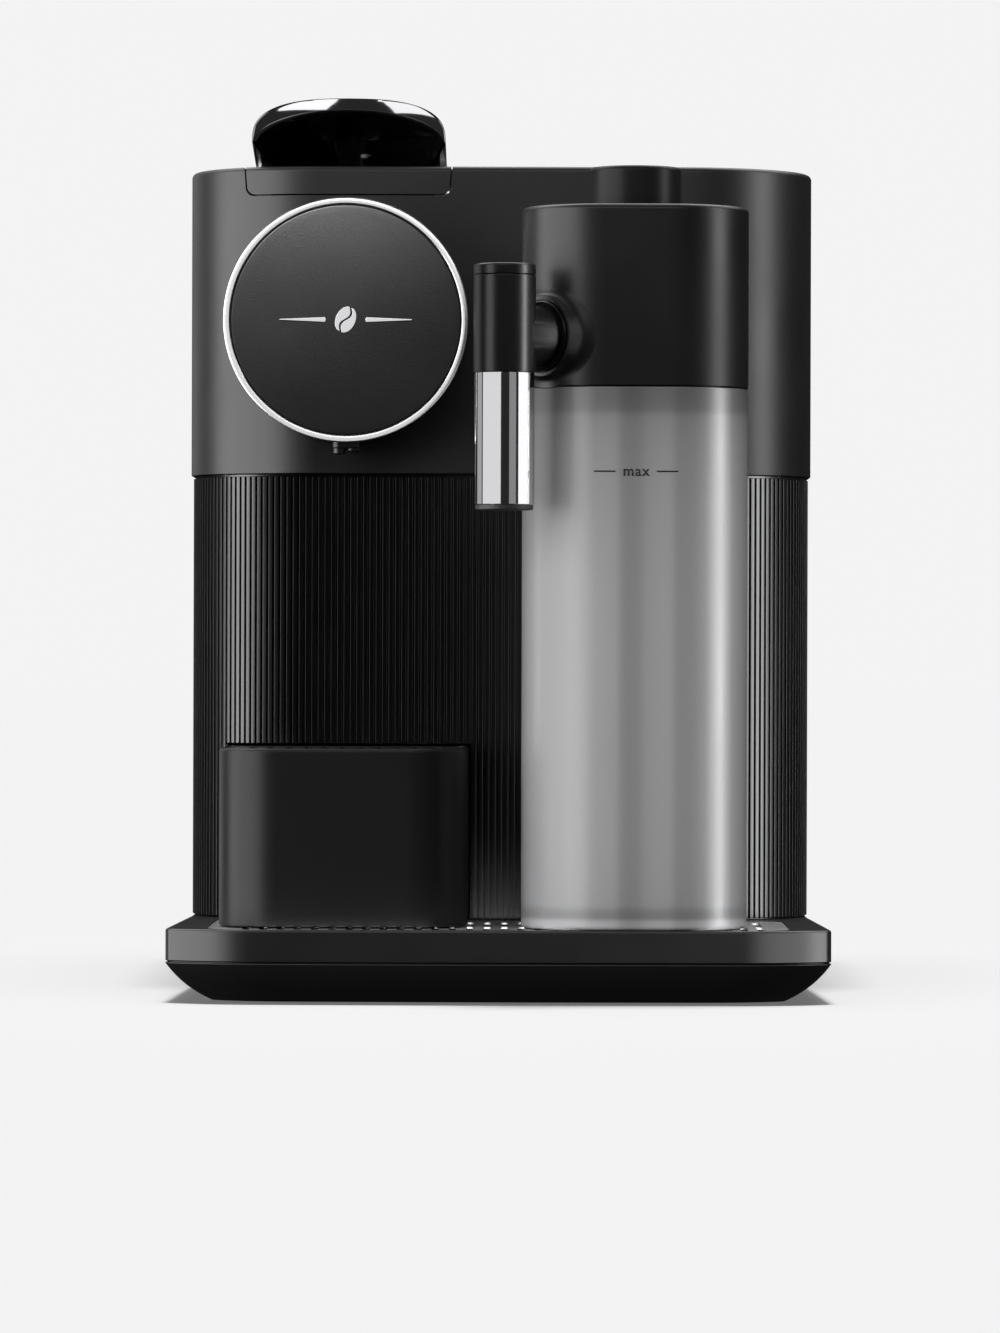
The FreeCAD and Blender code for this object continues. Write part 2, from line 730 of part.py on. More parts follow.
def cup_stand_grid():
    x = around(drawer_x, drawer_half)
    plate = slab((x[0] + 1.7, x[1] - 1.7), (drawer_front + 1.7, divider[1] - 1.1),
                 (drawer_top - 1.6, drawer_top - 0.2),
                 drawer_corner - 1.7, 2)
    slots = []
    for i in range(-5, 6):
        slots.append(block(around(drawer_x + 5.6 * i, 1.2), (28, 78), (70, 80)))
    return plate.cut(Part.makeCompound(slots))


# ---- Milk container and lid -----------------------------------------------------------------------
def jar_slab(inset, z):
    """The container's plan, drawn in by inset."""
    x = around(container_x, container_half - inset)
    depth = (container_front + inset, container_front + container_depth - inset)
    radius = container_corner - inset
    return slab(x, depth, z, radius, radius)


def milk_container():
    bottom = base_top + 0.1
    jar = jar_slab(0, (bottom, container_top))
    jar = jar.makeFillet(1.2, edges_at(jar, bottom))
    return jar.cut(jar_slab(container_wall, (bottom + 2.4, container_top + 1)))


def corner_point(reach, z, side=0.0):
    """A point out along the spout arm from the centre of the lid's front left corner."""
    angle = math.radians(arm_angle)
    x = container_x - container_half + container_corner
    depth = container_front + container_corner
    return (x - reach * math.sin(angle) + side * math.cos(angle), depth - reach * math.cos(angle), z)


spout_reach = (container_x - container_half + container_corner - 1.42) / math.sin(math.radians(arm_angle))
lid_bottom = container_top + gap
tube_x = 39.0
tube_depth = 40.0


def milk_lid():
    lid = jar_slab(-0.2, (lid_bottom, lid_top))
    lid = lid.makeFillet(1.8, edges_at(lid, lid_top))
    boss = cone(15.2, 12.0, corner_point(16, arm_z), corner_point(boss_reach, arm_z))
    lid = lid.fuse(boss)
    lid = lid.cut(jar_slab(2.6, (lid_bottom + 4, lid_top - 2.6)))
    collar = jar_slab(container_wall + 2.0, (collar_bottom, lid_bottom + 1))
    lid = lid.fuse(collar).cut(jar_slab(container_wall + 4.0, (collar_bottom + 3, lid_bottom + 4.5)))
    pocket = rod(13.2, corner_point(8, arm_z), corner_point(18, arm_z))
    lid = lid.fuse(pocket.common(jar_slab(1.0, (lid_bottom + 3, lid_top - 1))))
    lid = lid.cut(rod(arm_radius + bearing, corner_point(11, arm_z), corner_point(boss_reach + 2, arm_z)))
    lid = lid.cut(rod(10.8, corner_point(boss_reach - 1.4, arm_z), corner_point(boss_reach + 1, arm_z)))
    lid = lid.cut(rod(5.0 + bearing, (container_x, knob_depth, lid_top - 6),
                      (container_x, knob_depth, lid_top + 2)))
    lid = lid.cut(rod(3.1, (tube_x, tube_depth, collar_bottom - 1),
                      (tube_x, tube_depth, collar_bottom + 6)))
    rear = container_front + container_depth
    lid = lid.cut(rod(7.0, (socket_x, rear - 4, socket_z), (socket_x, rear + 4, socket_z)))
    return lid.removeSplitter()


def lid_seal():
    """Soft ring round the collar that closes the container's mouth."""
    ring = jar_slab(container_wall + gap, (container_top - 6.5, container_top - 3.5))
    return ring.cut(jar_slab(container_wall + 2.0, (container_top - 8, container_top - 2)))


def milk_tube():
    """Suction tube from the lid to just above the container's floor."""
    return pipe(3.0, 2.0, (tube_x, tube_depth, base_top + 5.5), (tube_x, tube_depth, collar_bottom + 22))


def froth_knob():
    bottom = lid_top + gap
    knob = rod(knob_radius, (container_x, knob_depth, bottom), (container_x, knob_depth, knob_top))
    knob = knob.makeFillet(1.4, edges_at(knob, knob_top))
    mark = block(around(container_x, 0.6), (knob_depth - knob_radius + 1.5, knob_depth - 5),
                 (knob_top - 0.5, knob_top + 1))
    shaft = rod(5.0, (container_x, knob_depth, lid_top - 12), (container_x, knob_depth, bottom + 1))
    return knob.cut(mark).fuse(shaft).removeSplitter()


def steam_connector():
    """Tube on the back of the lid that faces the machine's steam outlet."""
    rear = container_front + container_depth
    tube = pipe(6.9, 3.0, (socket_x, rear - 8, socket_z),
                (socket_x, body_front - head_proud - 1.0, socket_z))
    collar = pipe(9.5, 6.5, (socket_x, rear + 0.6, socket_z), (socket_x, rear + 5.0, socket_z))
    return tube.fuse(collar).removeSplitter()


def steam_socket():
    """Flush steam outlet in the head, with a soft face."""
    front = body_front - head_proud
    socket = rod(socket_radius, (socket_x, front - 0.2, socket_z), (socket_x, front + 14, socket_z))
    flange = rod(socket_radius + 2.5, (socket_x, front + wall, socket_z),
                 (socket_x, front + wall + 2, socket_z))
    bore = rod(2.6, (socket_x, front - 1, socket_z), (socket_x, front + 15, socket_z))
    return socket.fuse(flange).cut(bore).removeSplitter()


# ---- Milk spout -----------------------------------------------------------------------------------
def spout_axis(z):
    return corner_point(spout_reach, z)


def spout_body():
    """Arm that turns in the lid, and the upper half of the spout."""
    tube = rod(spout_radius, spout_axis(sleeve_top), spout_axis(spout_cap_seam - 0.1))
    arm = rod(arm_radius, corner_point(12, arm_z), corner_point(spout_reach, arm_z))
    collar = rod(collar_radius, corner_point(boss_reach - 1.2, arm_z),
                 corner_point(boss_reach + 0.4, arm_z))
    body = tube.fuse(arm).fuse(collar)
    milk_way = rod(2.5, corner_point(11, arm_z), corner_point(spout_reach, arm_z))
    down = rod(2.5, spout_axis(sleeve_top - 1), spout_axis(arm_z))
    return body.cut(milk_way).cut(down).removeSplitter()


def spout_cap():
    cap = rod(spout_radius, spout_axis(spout_cap_seam + 0.1), spout_axis(spout_top))
    return cap.makeFillet(0.8, edges_at(cap, spout_top))


def spout_sleeve():
    return pipe(sleeve_radius, 7.6, spout_axis(sleeve_bottom), spout_axis(sleeve_top - 0.1))


def spout_tip():
    """Nozzle inside the sleeve: milk on the axis, air beside it."""
    core = rod(7.5, spout_axis(tip_bottom + 1.2), spout_axis(sleeve_top - 0.15))
    lip = rod(8.7, spout_axis(tip_bottom), spout_axis(sleeve_bottom - 0.1))
    tip = core.fuse(lip).removeSplitter()
    return tip.cut(rod(2.5, spout_axis(tip_bottom - 1), spout_axis(sleeve_top + 1)))


# ---- Water tank -----------------------------------------------------------------------------------
tank_half = 96.6
tank_bottom = plinth_top + gap
valve_x, valve_depth = seat_x, seat_depth
lid_pivot_depth = machine_depth - 12.0
bridge_front = lid_pivot_depth + 5.7
ear_x = (52.0, 58.0)
lid_barrel = 78.0
lid_pivot_z = 252.7
lid_pivot_radius = 5.2


def tank_slab(inset, z):
    x = (inset - tank_half, tank_half - inset)
    return slab(x, (tank_front + inset, machine_depth - inset - 0.2), z, 4.0, rear_corner - inset)


def water_tank():
    tank = tank_slab(0, (tank_bottom, tank_top))
    tank = tank.cut(tank_slab(tank_wall, (tank_bottom + 3.0, tank_top + 1)))
    outlet = rod(6.1, (valve_x, valve_depth, plinth_top - 8), (valve_x, valve_depth, tank_bottom + 10))
    tank = tank.fuse(outlet)
    tank = tank.cut(rod(4.0 + bearing, (valve_x, valve_depth, 50),
                        (valve_x, valve_depth, tank_bottom + 12)))
    return tank.removeSplitter()


def tank_valve():
    """Spring valve that the seat pushes open when the tank is in place."""
    stem = rod(4.0, (valve_x, valve_depth, tank_bottom + 0.5), (valve_x, valve_depth, tank_bottom + 12))
    head = rod(6.5, (valve_x, valve_depth, tank_bottom + 10.2), (valve_x, valve_depth, tank_bottom + 13))
    return stem.fuse(head).removeSplitter()


def tank_seat():
    """Sealed cup in the plinth that takes the tank's outlet, with the pin that opens the valve."""
    cup = rod(8.9, (seat_x, seat_depth, plinth_top - 12), (seat_x, seat_depth, plinth_top - 0.1))
    cup = cup.cut(rod(6.4, (seat_x, seat_depth, plinth_top - 9.5), (seat_x, seat_depth, plinth_top + 1)))
    cup = cup.cut(rod(1.4, (seat_x + 4, seat_depth, plinth_top - 13),
                      (seat_x + 4, seat_depth, plinth_top)))
    pin = rod(1.5, (seat_x, seat_depth, plinth_top - 10), (seat_x, seat_depth, plinth_top + 0.2))
    return cup.fuse(pin).removeSplitter()


def hinge_bridge():
    """Fixed strip on the back of the tank's rim, with the ears and pins that carry the lid."""
    bottom = tank_top + 0.05
    outer = tank_slab(0, (bottom, head_top))
    outer = outer.makeFillet(1.4, edges_at(outer, head_top, lid_pivot_depth, 400))
    strip = outer.common(block((-120, 120), (bridge_front, 400), (240, 270)))
    ears = []
    for side in (-1, 1):
        x = sorted((side * ear_x[0], side * ear_x[1]))
        ear = rod(lid_pivot_radius, (x[0], lid_pivot_depth, lid_pivot_z),
                  (x[1], lid_pivot_depth, lid_pivot_z))
        ears.append(ear)
        ears.append(block(x, (lid_pivot_depth, bridge_front + 1), around(lid_pivot_z, 4.4)))
        ears.append(rod(1.6, (side * (ear_x[0] - 6), lid_pivot_depth, lid_pivot_z),
                        (side * ear_x[0], lid_pivot_depth, lid_pivot_z)))
    return fuse_all([strip] + ears)


def tank_lid():
    """Lid with a round back edge about its hinge."""
    bottom = tank_top + 0.6
    lid = tank_slab(0, (bottom, head_top)).cut(block((-120, 120), (lid_pivot_depth, 400), (240, 270)))
    lid = lid.makeFillet(1.4, edges_at(lid, head_top, 0, lid_pivot_depth - 1))
    trim = block((-120, 120), (lid_pivot_depth - 6, 400), (lid_pivot_z + lid_pivot_radius, 270))
    edge = rod(lid_pivot_radius, (-lid_barrel, lid_pivot_depth, lid_pivot_z),
               (lid_barrel, lid_pivot_depth, lid_pivot_z))
    lid = lid.cut(trim).fuse(edge)
    lid = lid.cut(block((-90, 90), (tank_front + 4, lid_pivot_depth - 8), (bottom - 1, head_top - 2.4)))
    for side in (-1, 1):
        x = sorted((side * (ear_x[0] - gap), side * (ear_x[1] + gap)))
        lid = lid.cut(block(x, (lid_pivot_depth - 6, 400), (240, 270)))
    return lid.cut(rod(1.6 + bearing, (-100, lid_pivot_depth, lid_pivot_z),
                       (100, lid_pivot_depth, lid_pivot_z)))


# ---- Pump, heater, flow meter ---------------------------------------------------------------------
pump_x, pump_z = 45.0, 62.0
pump_depth = (212.0, 276.0)
pump_port = 220.0            # depth of the pump's outlet and of the heater's ports
meter_x, meter_depth, meter_z = -40.0, 270.0, 70.0
heater_top = 131.0
heater_ports = (28.0, 62.0)
port_top = 150.0
shelf_z = (90.0, 93.0)


def inner_frame():
    """Upright bulkhead with shelves; it carries the brew unit, pump, heater and flow meter."""
    plates = [block((-94, 94), (184, 187), (base_top + seam, 160)),
              block((-84, -12), (184, 187), (159, 172)),
              block((4, 76), (187, 302), shelf_z),
              block((-60, -20), (187, 290), (meter_z - 19.8, meter_z - 16.8))]
    frame = fuse_all(plates)
    return frame.cut(block((-80, -16), (180, 190), (110, 145)))


def pump_body():
    """Vibration pump: coil body, end caps, inlet and outlet stubs."""
    d0, d1 = pump_depth
    parts = [rod(19, (pump_x, d0 + 16, pump_z), (pump_x, d1 - 10, pump_z)),
             rod(12, (pump_x, d0, pump_z), (pump_x, d0 + 16, pump_z)),
             rod(12, (pump_x, d1 - 10, pump_z), (pump_x, d1, pump_z)),
             rod(3.2, (pump_x, d1, pump_z), (pump_x, d1 + 8, pump_z)),
             rod(3.2, (pump_x + 8, pump_port, pump_z), (pump_x + 21, pump_port, pump_z))]
    body = fuse_all(parts)
    return body.cut(rod(6.0 + bearing, (pump_x, d0 + 14, pump_z), (pump_x, d1 - 6, pump_z)))


def pump_piston():
    d0 = pump_depth[0]
    return rod(6.0, (pump_x, d0 + 20, pump_z), (pump_x, d0 + 50, pump_z))


def pump_mounts():
    """Two rubber saddles that hang the pump's ends from the shelf."""
    mounts = []
    for depth in (pump_depth[0] + 1, pump_depth[1] - 9):
        mount = block(around(pump_x, 10), (depth, depth + 7), (pump_z, shelf_z[0]))
        mounts.append(mount.cut(rod(12.0, (pump_x, depth - 1, pump_z), (pump_x, depth + 12, pump_z))))
    return Part.makeCompound(mounts)


def thermoblock():
    body = block((14, 74), (205, 290), (shelf_z[1], heater_top))
    fins = [block((16 + 8 * i, 19 + 8 * i), (232, 287), (heater_top, heater_top + 10)) for i in range(8)]
    ports = [rod(3.2, (x, pump_port, heater_top), (x, pump_port, port_top)) for x in heater_ports]
    return fuse_all([body] + fins + ports)


def flow_meter():
    body = rod(14, (meter_x, meter_depth, meter_z - 16.8), (meter_x, meter_depth, meter_z))
    chamber = rod(11.5, (meter_x, meter_depth, meter_z - 13), (meter_x, meter_depth, meter_z - 3))
    ports = [rod(3.2, (meter_x + side * 13, meter_depth, meter_z - 8),
                 (meter_x + side * 22, meter_depth, meter_z - 8))
             for side in (-1, 1)]
    return fuse_all([body] + ports).cut(chamber)


def flow_meter_rotor():
    hub = rod(3.0, (meter_x, meter_depth, meter_z - 12.4), (meter_x, meter_depth, meter_z - 3.6))
    vanes = []
    for i in range(6):
        vane = block((meter_x, meter_x + 10.6), around(meter_depth, 0.6), (meter_z - 12, meter_z - 4))
        vane.rotate(V(meter_x, at(meter_depth), 0), UP, 60 * i)
        vanes.append(vane)
    return fuse_all([hub] + vanes)


def hose(points, radius, bend):
    """A round hose along straight runs joined by tangent arcs."""
    path = [V(x, at(depth), z) for x, depth, z in points]
    edges = []
    last = path[0]
    for i in range(1, len(path) - 1):
        back = (path[i - 1] - path[i]).normalize()
        ahead = (path[i + 1] - path[i]).normalize()
        turn = math.pi - back.getAngle(ahead)
        reach = bend * math.tan(turn / 2)
        start = path[i] + back * reach
        end = path[i] + ahead * reach
        bisector = (back + ahead).normalize()
        middle = path[i] + bisector * (bend / math.cos(turn / 2) - bend)
        edges.append(Part.LineSegment(last, start).toShape())
        edges.append(Part.Arc(start, middle, end).toShape())
        last = end
    edges.append(Part.LineSegment(last, path[-1]).toShape())
    wire = Part.Wire(edges)
    circle = Part.Wire(Part.Circle(path[0], path[1] - path[0], radius).toShape())
    return wire.makePipeShell([circle], True, False)


def water_hoses():
    """Tank seat to flow meter, flow meter to pump, pump to heater, heater to brew unit."""
    ports_z = meter_z - 8
    low_z = hose_hole_z
    left_x = hose_hole_x
    right_x = 85.0
    back_depth = 296.0
    pump_in, heater_out = heater_ports[1], heater_ports[0]
    touch = 0.1
    routes = [
        [(seat_x + 4, seat_depth, plinth_top - 12 - touch), (seat_x + 4, seat_depth, low_z),
         (left_x, seat_depth, low_z),
         (left_x, meter_depth, low_z), (left_x, meter_depth, ports_z),
         (meter_x - 22 - touch, meter_depth, ports_z)],
        [(meter_x + 22 + touch, meter_depth, ports_z), (8, meter_depth, ports_z),
         (8, back_depth, ports_z),
         (pump_x, back_depth, ports_z), (pump_x, pump_depth[1] + 8 + touch, ports_z)],
        [(pump_x + 21 + touch, pump_port, pump_z), (right_x, pump_port, pump_z),
         (right_x, pump_port, port_top + 14),
         (pump_in, pump_port, port_top + 14), (pump_in, pump_port, port_top + touch)],
        [(heater_out, pump_port, port_top + touch), (heater_out, pump_port, port_top + 26),
         (brew_x, pump_port, port_top + 26), (brew_x, pump_port, drum_z),
         (brew_x, housing_rear + touch, drum_z)],
    ]
    return Part.makeCompound([hose(route, 2.6, 8.0) for route in routes])


NODES = [base_pan, rubber_feet, chassis_screws, base_rim, drip_tray, drip_grid, fluted_panel,
         head_shell, brew_cover,
         touch_panel, control_board, rear_panel, rear_plinth, power_gland, drum_housing, drum_ring,
         drum_disc,
         coffee_nozzle, lever_shell, lever_liner, lever_axle, lever_cranks, brew_housing, capsule_cage,
         brew_carriage, piercing_plate, capsule_drawer, cup_stand_grid, milk_container, milk_lid,
         lid_seal,
         milk_tube, froth_knob, steam_connector, steam_socket, spout_body, spout_cap, spout_sleeve,
         spout_tip,
         water_tank, tank_valve, tank_seat, hinge_bridge, tank_lid, inner_frame, pump_body,
         pump_piston, pump_mounts,
         thermoblock, flow_meter, flow_meter_rotor, water_hoses]

for build in NODES:
    export(build.__name__, build())
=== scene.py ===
import json
import math

import bmesh
import bpy
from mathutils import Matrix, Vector


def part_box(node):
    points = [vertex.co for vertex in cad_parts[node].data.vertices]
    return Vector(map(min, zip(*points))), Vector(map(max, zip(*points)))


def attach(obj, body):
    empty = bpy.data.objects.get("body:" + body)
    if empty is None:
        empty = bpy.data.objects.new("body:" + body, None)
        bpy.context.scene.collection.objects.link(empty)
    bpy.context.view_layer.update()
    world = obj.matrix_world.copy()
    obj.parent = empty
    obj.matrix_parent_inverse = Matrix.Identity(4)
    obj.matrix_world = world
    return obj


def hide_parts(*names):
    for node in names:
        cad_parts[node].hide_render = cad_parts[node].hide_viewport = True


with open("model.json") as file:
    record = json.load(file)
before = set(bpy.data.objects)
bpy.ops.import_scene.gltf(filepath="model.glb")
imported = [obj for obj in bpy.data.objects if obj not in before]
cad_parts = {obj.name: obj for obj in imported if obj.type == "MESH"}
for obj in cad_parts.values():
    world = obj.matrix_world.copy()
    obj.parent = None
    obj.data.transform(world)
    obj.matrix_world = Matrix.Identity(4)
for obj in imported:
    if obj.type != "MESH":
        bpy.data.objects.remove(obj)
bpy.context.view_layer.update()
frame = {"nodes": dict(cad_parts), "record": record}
nodes = frame["nodes"]

# The machine is laid out in millimetres, which make() turns into metres; the lights are in metres.
# Depth is measured backwards from the front edge of the base, as on the real machine.
MM = 0.001
MERGE = 0.000002             # metres: points nearer than this are one
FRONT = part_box("drip_tray")[0].y / MM


def at(depth):
    return FRONT + depth


# ---- Mesh helpers ----
def put(name, data):
    """A new object in the scene."""
    obj = bpy.data.objects.new(name, data)
    bpy.context.scene.collection.objects.link(obj)
    return obj


def make(name, verts, faces, sharp=32.0):
    """A mesh object from points in millimetres, shaded smooth with sharp edges kept."""
    mesh = bpy.data.meshes.new(name)
    mesh.from_pydata([Vector(v) * MM for v in verts], [], faces)
    obj = put(name, mesh)
    tidy(obj, sharp)
    return obj


def tidy(obj, sharp=32.0):
    """Merge doubles, turn faces outwards and set which edges stay sharp."""
    work = bmesh.new()
    work.from_mesh(obj.data)
    bmesh.ops.remove_doubles(work, verts=work.verts, dist=MERGE)
    bmesh.ops.dissolve_degenerate(work, edges=work.edges, dist=MERGE)
    bmesh.ops.recalc_face_normals(work, faces=work.faces)
    work.to_mesh(obj.data)
    work.free()
    obj.data.shade_smooth()
    obj.data.set_sharp_from_angle(angle=math.radians(sharp))
    if "weighted" not in obj.modifiers:
        weighted = obj.modifiers.new("weighted", "WEIGHTED_NORMAL")
        weighted.keep_sharp = True


def evaluated(obj):
    """The mesh that an object's modifiers or its text give."""
    bpy.context.view_layer.update()
    return bpy.data.meshes.new_from_object(obj.evaluated_get(bpy.context.evaluated_depsgraph_get()))


def apply_modifiers(obj):
    """Bake the object's modifiers into its mesh."""
    baked = evaluated(obj)
    obj.modifiers.clear()
    old = obj.data
    obj.data = baked
    bpy.data.meshes.remove(old)


def carve(obj, cutters, how="DIFFERENCE", sharp=32.0):
    """Boolean with each cutter in turn. The cutters are used up."""
    obj.modifiers.clear()
    for cutter in cutters:
        cutter.modifiers.clear()
        step = obj.modifiers.new("cut", "BOOLEAN")
        step.operation = how
        step.solver = "MANIFOLD"
        step.object = cutter
        apply_modifiers(obj)
        bpy.data.objects.remove(cutter)
    tidy(obj, sharp)
    return obj


def rounded(x, depth, front_radius, rear_radius, steps=12):
    """Outline of a rounded rectangle as a function of how far it is drawn in."""
    def outline(inset):
        x0, x1 = x[0] + inset, x[1] - inset
        y0, y1 = at(depth[0]) + inset, at(depth[1]) - inset
        points = []
        for side, end, radius, start in ((1, 0, front_radius, -90), (1, 1, rear_radius, 0),
                                         (0, 1, rear_radius, 90), (0, 0, front_radius, 180)):
            r = max(radius - inset, 0.0)
            cx = x1 - r if side else x0 + r
            cy = y1 - r if end else y0 + r
            for i in range(steps + 1 if radius > 0 else 1):
                angle = math.radians(start + 90 * i / steps)
                points.append((cx + r * math.cos(angle), cy + r * math.sin(angle)))
        return points
    return outline


def sweep_rows(name, rows, close_rows=False, close_columns=False, caps=(), ends=False, sharp=32.0):
    """Skin over rows of points.

    Caps are columns to close across the rows; ends closes the first and last row.
    """
    count = len(rows[0])
    verts = [point for row in rows for point in row]
    faces = []
    if ends:
        faces += [tuple(range(count - 1, -1, -1)), tuple(range(len(verts) - count, len(verts)))]
    for r in range(len(rows) if close_rows else len(rows) - 1):
        below, above = r * count, ((r + 1) % len(rows)) * count
        for i in range(count if close_columns else count - 1):
            j = (i + 1) % count
            faces.append((below + i, below + j, above + j, above + i))
    for column in caps:
        faces.append(tuple(r * count + column % count for r in range(len(rows))))
    return make(name, verts, faces, sharp)


def loft(name, outline, profile, sharp=32.0):
    """Stack an outline through (inset, z) stations and close both ends."""
    rows = [[(x, y, z) for x, y in outline(inset)] for inset, z in profile]
    return sweep_rows(name, rows, close_columns=True, ends=True, sharp=sharp)


def quarter(start, end, upright_first=True, steps=5):
    """Quarter round between two (inset, z) stations, upright at the first or at the last."""
    points = []
    for i in range(steps + 1):
        t = math.pi / 2 * i / steps
        slow, fast = 1 - math.cos(t), math.sin(t)
        u, v = (slow, fast) if upright_first else (fast, slow)
        points.append((start[0] + (end[0] - start[0]) * u, start[1] + (end[1] - start[1]) * v))
    return points


def extrude(name, outline, front, back):
    """Prism of a closed outline of (x, z) points from one depth to another."""
    rows = [[(x, at(depth), z) for x, z in outline] for depth in (front, back)]
    return sweep_rows(name, rows, close_columns=True, ends=True)


def block(x, depth, z):
    """A plain box, only ever used as a cutter."""
    verts = [(a, at(d), h) for a in x for d in depth for h in z]
    faces = [(0, 1, 3, 2), (4, 6, 7, 5), (0, 4, 5, 1), (2, 3, 7, 6), (0, 2, 6, 4), (1, 5, 7, 3)]
    return make("cut", verts, faces)


def turned(centre, axis, profile, steps):
    """Rows of points round an axis through centre, one for each (radius, along) station."""
    axis = Vector(axis).normalized()
    side = axis.orthogonal().normalized()
    other = axis.cross(side)
    rows = []
    for radius, along in profile:
        row = []
        for i in range(steps):
            angle = 2 * math.pi * i / steps
            out = side * math.cos(angle) + other * math.sin(angle)
            row.append(Vector(centre) + axis * along + out * radius)
        rows.append(row)
    return rows


def lathe(name, centre, axis, profile, steps=96):
    """Turn a profile about an axis; both ends are closed."""
    return sweep_rows(name, turned(centre, axis, profile, steps), close_columns=True, ends=True)


def pocket(x, depth, front_radius, rear_radius, profile):
    """Cutter with the outline of a rounded rectangle."""
    return loft("cut", rounded(x, depth, front_radius, rear_radius), profile)


def drill(x, depth, z, radius, length, axis=(0, 0, 1), steps=48):
    """Round cutter from a point along an axis."""
    return lathe("cut", (x, at(depth), z), axis, [(radius, 0), (radius, length)], steps)


def ring(name, centre, axis, profile, steps=128):
    """Turn a closed profile about an axis: a ring with no caps."""
    return sweep_rows(name, turned(centre, axis, profile, steps), close_rows=True, close_columns=True)


def bevel(obj, width, segments=2, angle=40.0):
    """Round the edges sharper than the angle by a width in millimetres."""
    obj.modifiers.clear()
    step = obj.modifiers.new("round", "BEVEL")
    step.width = width * MM
    step.segments = segments
    step.limit_method = "ANGLE"
    step.angle_limit = math.radians(angle)
    apply_modifiers(obj)
    tidy(obj)
    return obj


def soften(node, name, width=0.3, segments=2):
    """Copy of a CAD node with flat areas merged and its edges rounded."""
    mesh = nodes[node].data.copy()
    obj = put(name, mesh)
    work = bmesh.new()
    work.from_mesh(mesh)
    bmesh.ops.remove_doubles(work, verts=work.verts, dist=0.000005)
    bmesh.ops.dissolve_limit(work, angle_limit=math.radians(0.6), verts=work.verts, edges=work.edges)
    work.to_mesh(mesh)
    work.free()
    return bevel(obj, width, segments)


def join(target, *others):
    """Merge other meshes into the target object."""
    work = bmesh.new()
    for obj in (target, *others):
        work.from_mesh(obj.data)
    work.to_mesh(target.data)
    work.free()
    for obj in others:
        bpy.data.objects.remove(obj)
    target.data.shade_smooth()
    target.data.set_sharp_from_angle(angle=math.radians(32))
    return target


def dress(obj, body, slot, material, *replaced):
    """Give a piece its look and body, and hide the CAD nodes it stands for. The slot is not used."""
    obj.data.materials.clear()
    obj.data.materials.append(look[material])
    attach(obj, body)
    if replaced:
        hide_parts(*replaced)
    return obj


# ---- Materials ----
def add(tree, kind, inputs=None, **settings):
    """A new shader node; an input is linked when a socket is given for it, and set otherwise."""
    made = tree.nodes.new("ShaderNode" + kind)
    for setting, value in settings.items():
        setattr(made, setting, value)
    for socket, value in (inputs or {}).items():
        if isinstance(value, bpy.types.NodeSocket):
            tree.links.new(value, made.inputs[socket])
        else:
            made.inputs[socket].default_value = value
    return made


def surface(name, dark, light, rough, grain=2600.0, bump=0.05, stretch=(1, 1, 1), metallic=0.0, **sockets):
    """Principled material whose colour, roughness and fine relief all vary over the surface."""
    material = bpy.data.materials.new(name)
    material.use_nodes = True
    tree = material.node_tree
    shader = tree.nodes["Principled BSDF"]
    place = add(tree, "TexCoord").outputs["Object"]
    place = add(tree, "Mapping", {"Vector": place, "Scale": stretch}).outputs["Vector"]
    fine = add(tree, "TexNoise", {"Vector": place, "Scale": grain, "Detail": 2.0}).outputs["Fac"]
    broad = add(tree, "TexNoise", {"Vector": place, "Scale": 28.0, "Detail": 3.0}).outputs["Fac"]
    colour = add(tree, "Mix", {"Factor": fine, "A": (*dark, 1), "B": (*light, 1)}, data_type="RGBA")
    gloss = add(tree, "MapRange", {"Value": broad, "From Min": 0.3, "From Max": 0.7,
                                   "To Min": rough[0], "To Max": rough[1]})
    relief = add(tree, "Bump", {"Height": fine, "Strength": bump, "Distance": 0.0002})
    tree.links.new(colour.outputs["Result"], shader.inputs["Base Color"])
    tree.links.new(gloss.outputs["Result"], shader.inputs["Roughness"])
    tree.links.new(relief.outputs["Normal"], shader.inputs["Normal"])
    shader.inputs["Metallic"].default_value = metallic
    for socket, value in sockets.items():
        shader.inputs[socket.replace("_", " ")].default_value = value
    return material


# For each axis: the stretch of the frosted wall in metres, and how bright its colour is painted along that
# stretch.
# Across it, the peaks are painted highlights where the side lights fall. The dips are painted shade, the
# middle one where the dip tube stands behind the wall.
# Up it, there is a painted bright line at the inner floor edge with painted shade just above it, and painted
# shade towards the top where the lid's collar sits.
# The first two stops are the ends.
JAR_PAINTED_LIGHT = (("X", (0.007, 0.075), ((0.0, 0.62), (1.0, 0.36), (0.12, 0.80), (0.30, 1.0), (0.40, 0.92),
                                 (0.475, 0.64), (0.56, 0.82), (0.63, 0.88), (0.71, 0.62), (0.80, 0.74),
                                 (0.87, 1.0), (0.93, 0.66))),
          ("Z", (0.020, 0.188), ((0.0, 0.90), (1.0, 0.34), (0.012, 0.95), (0.028, 1.15), (0.040, 0.66),
                                 (0.065, 0.95), (0.35, 1.0), (0.70, 0.92), (0.82, 0.84), (0.93, 0.66),
                                 (0.952, 0.42))))


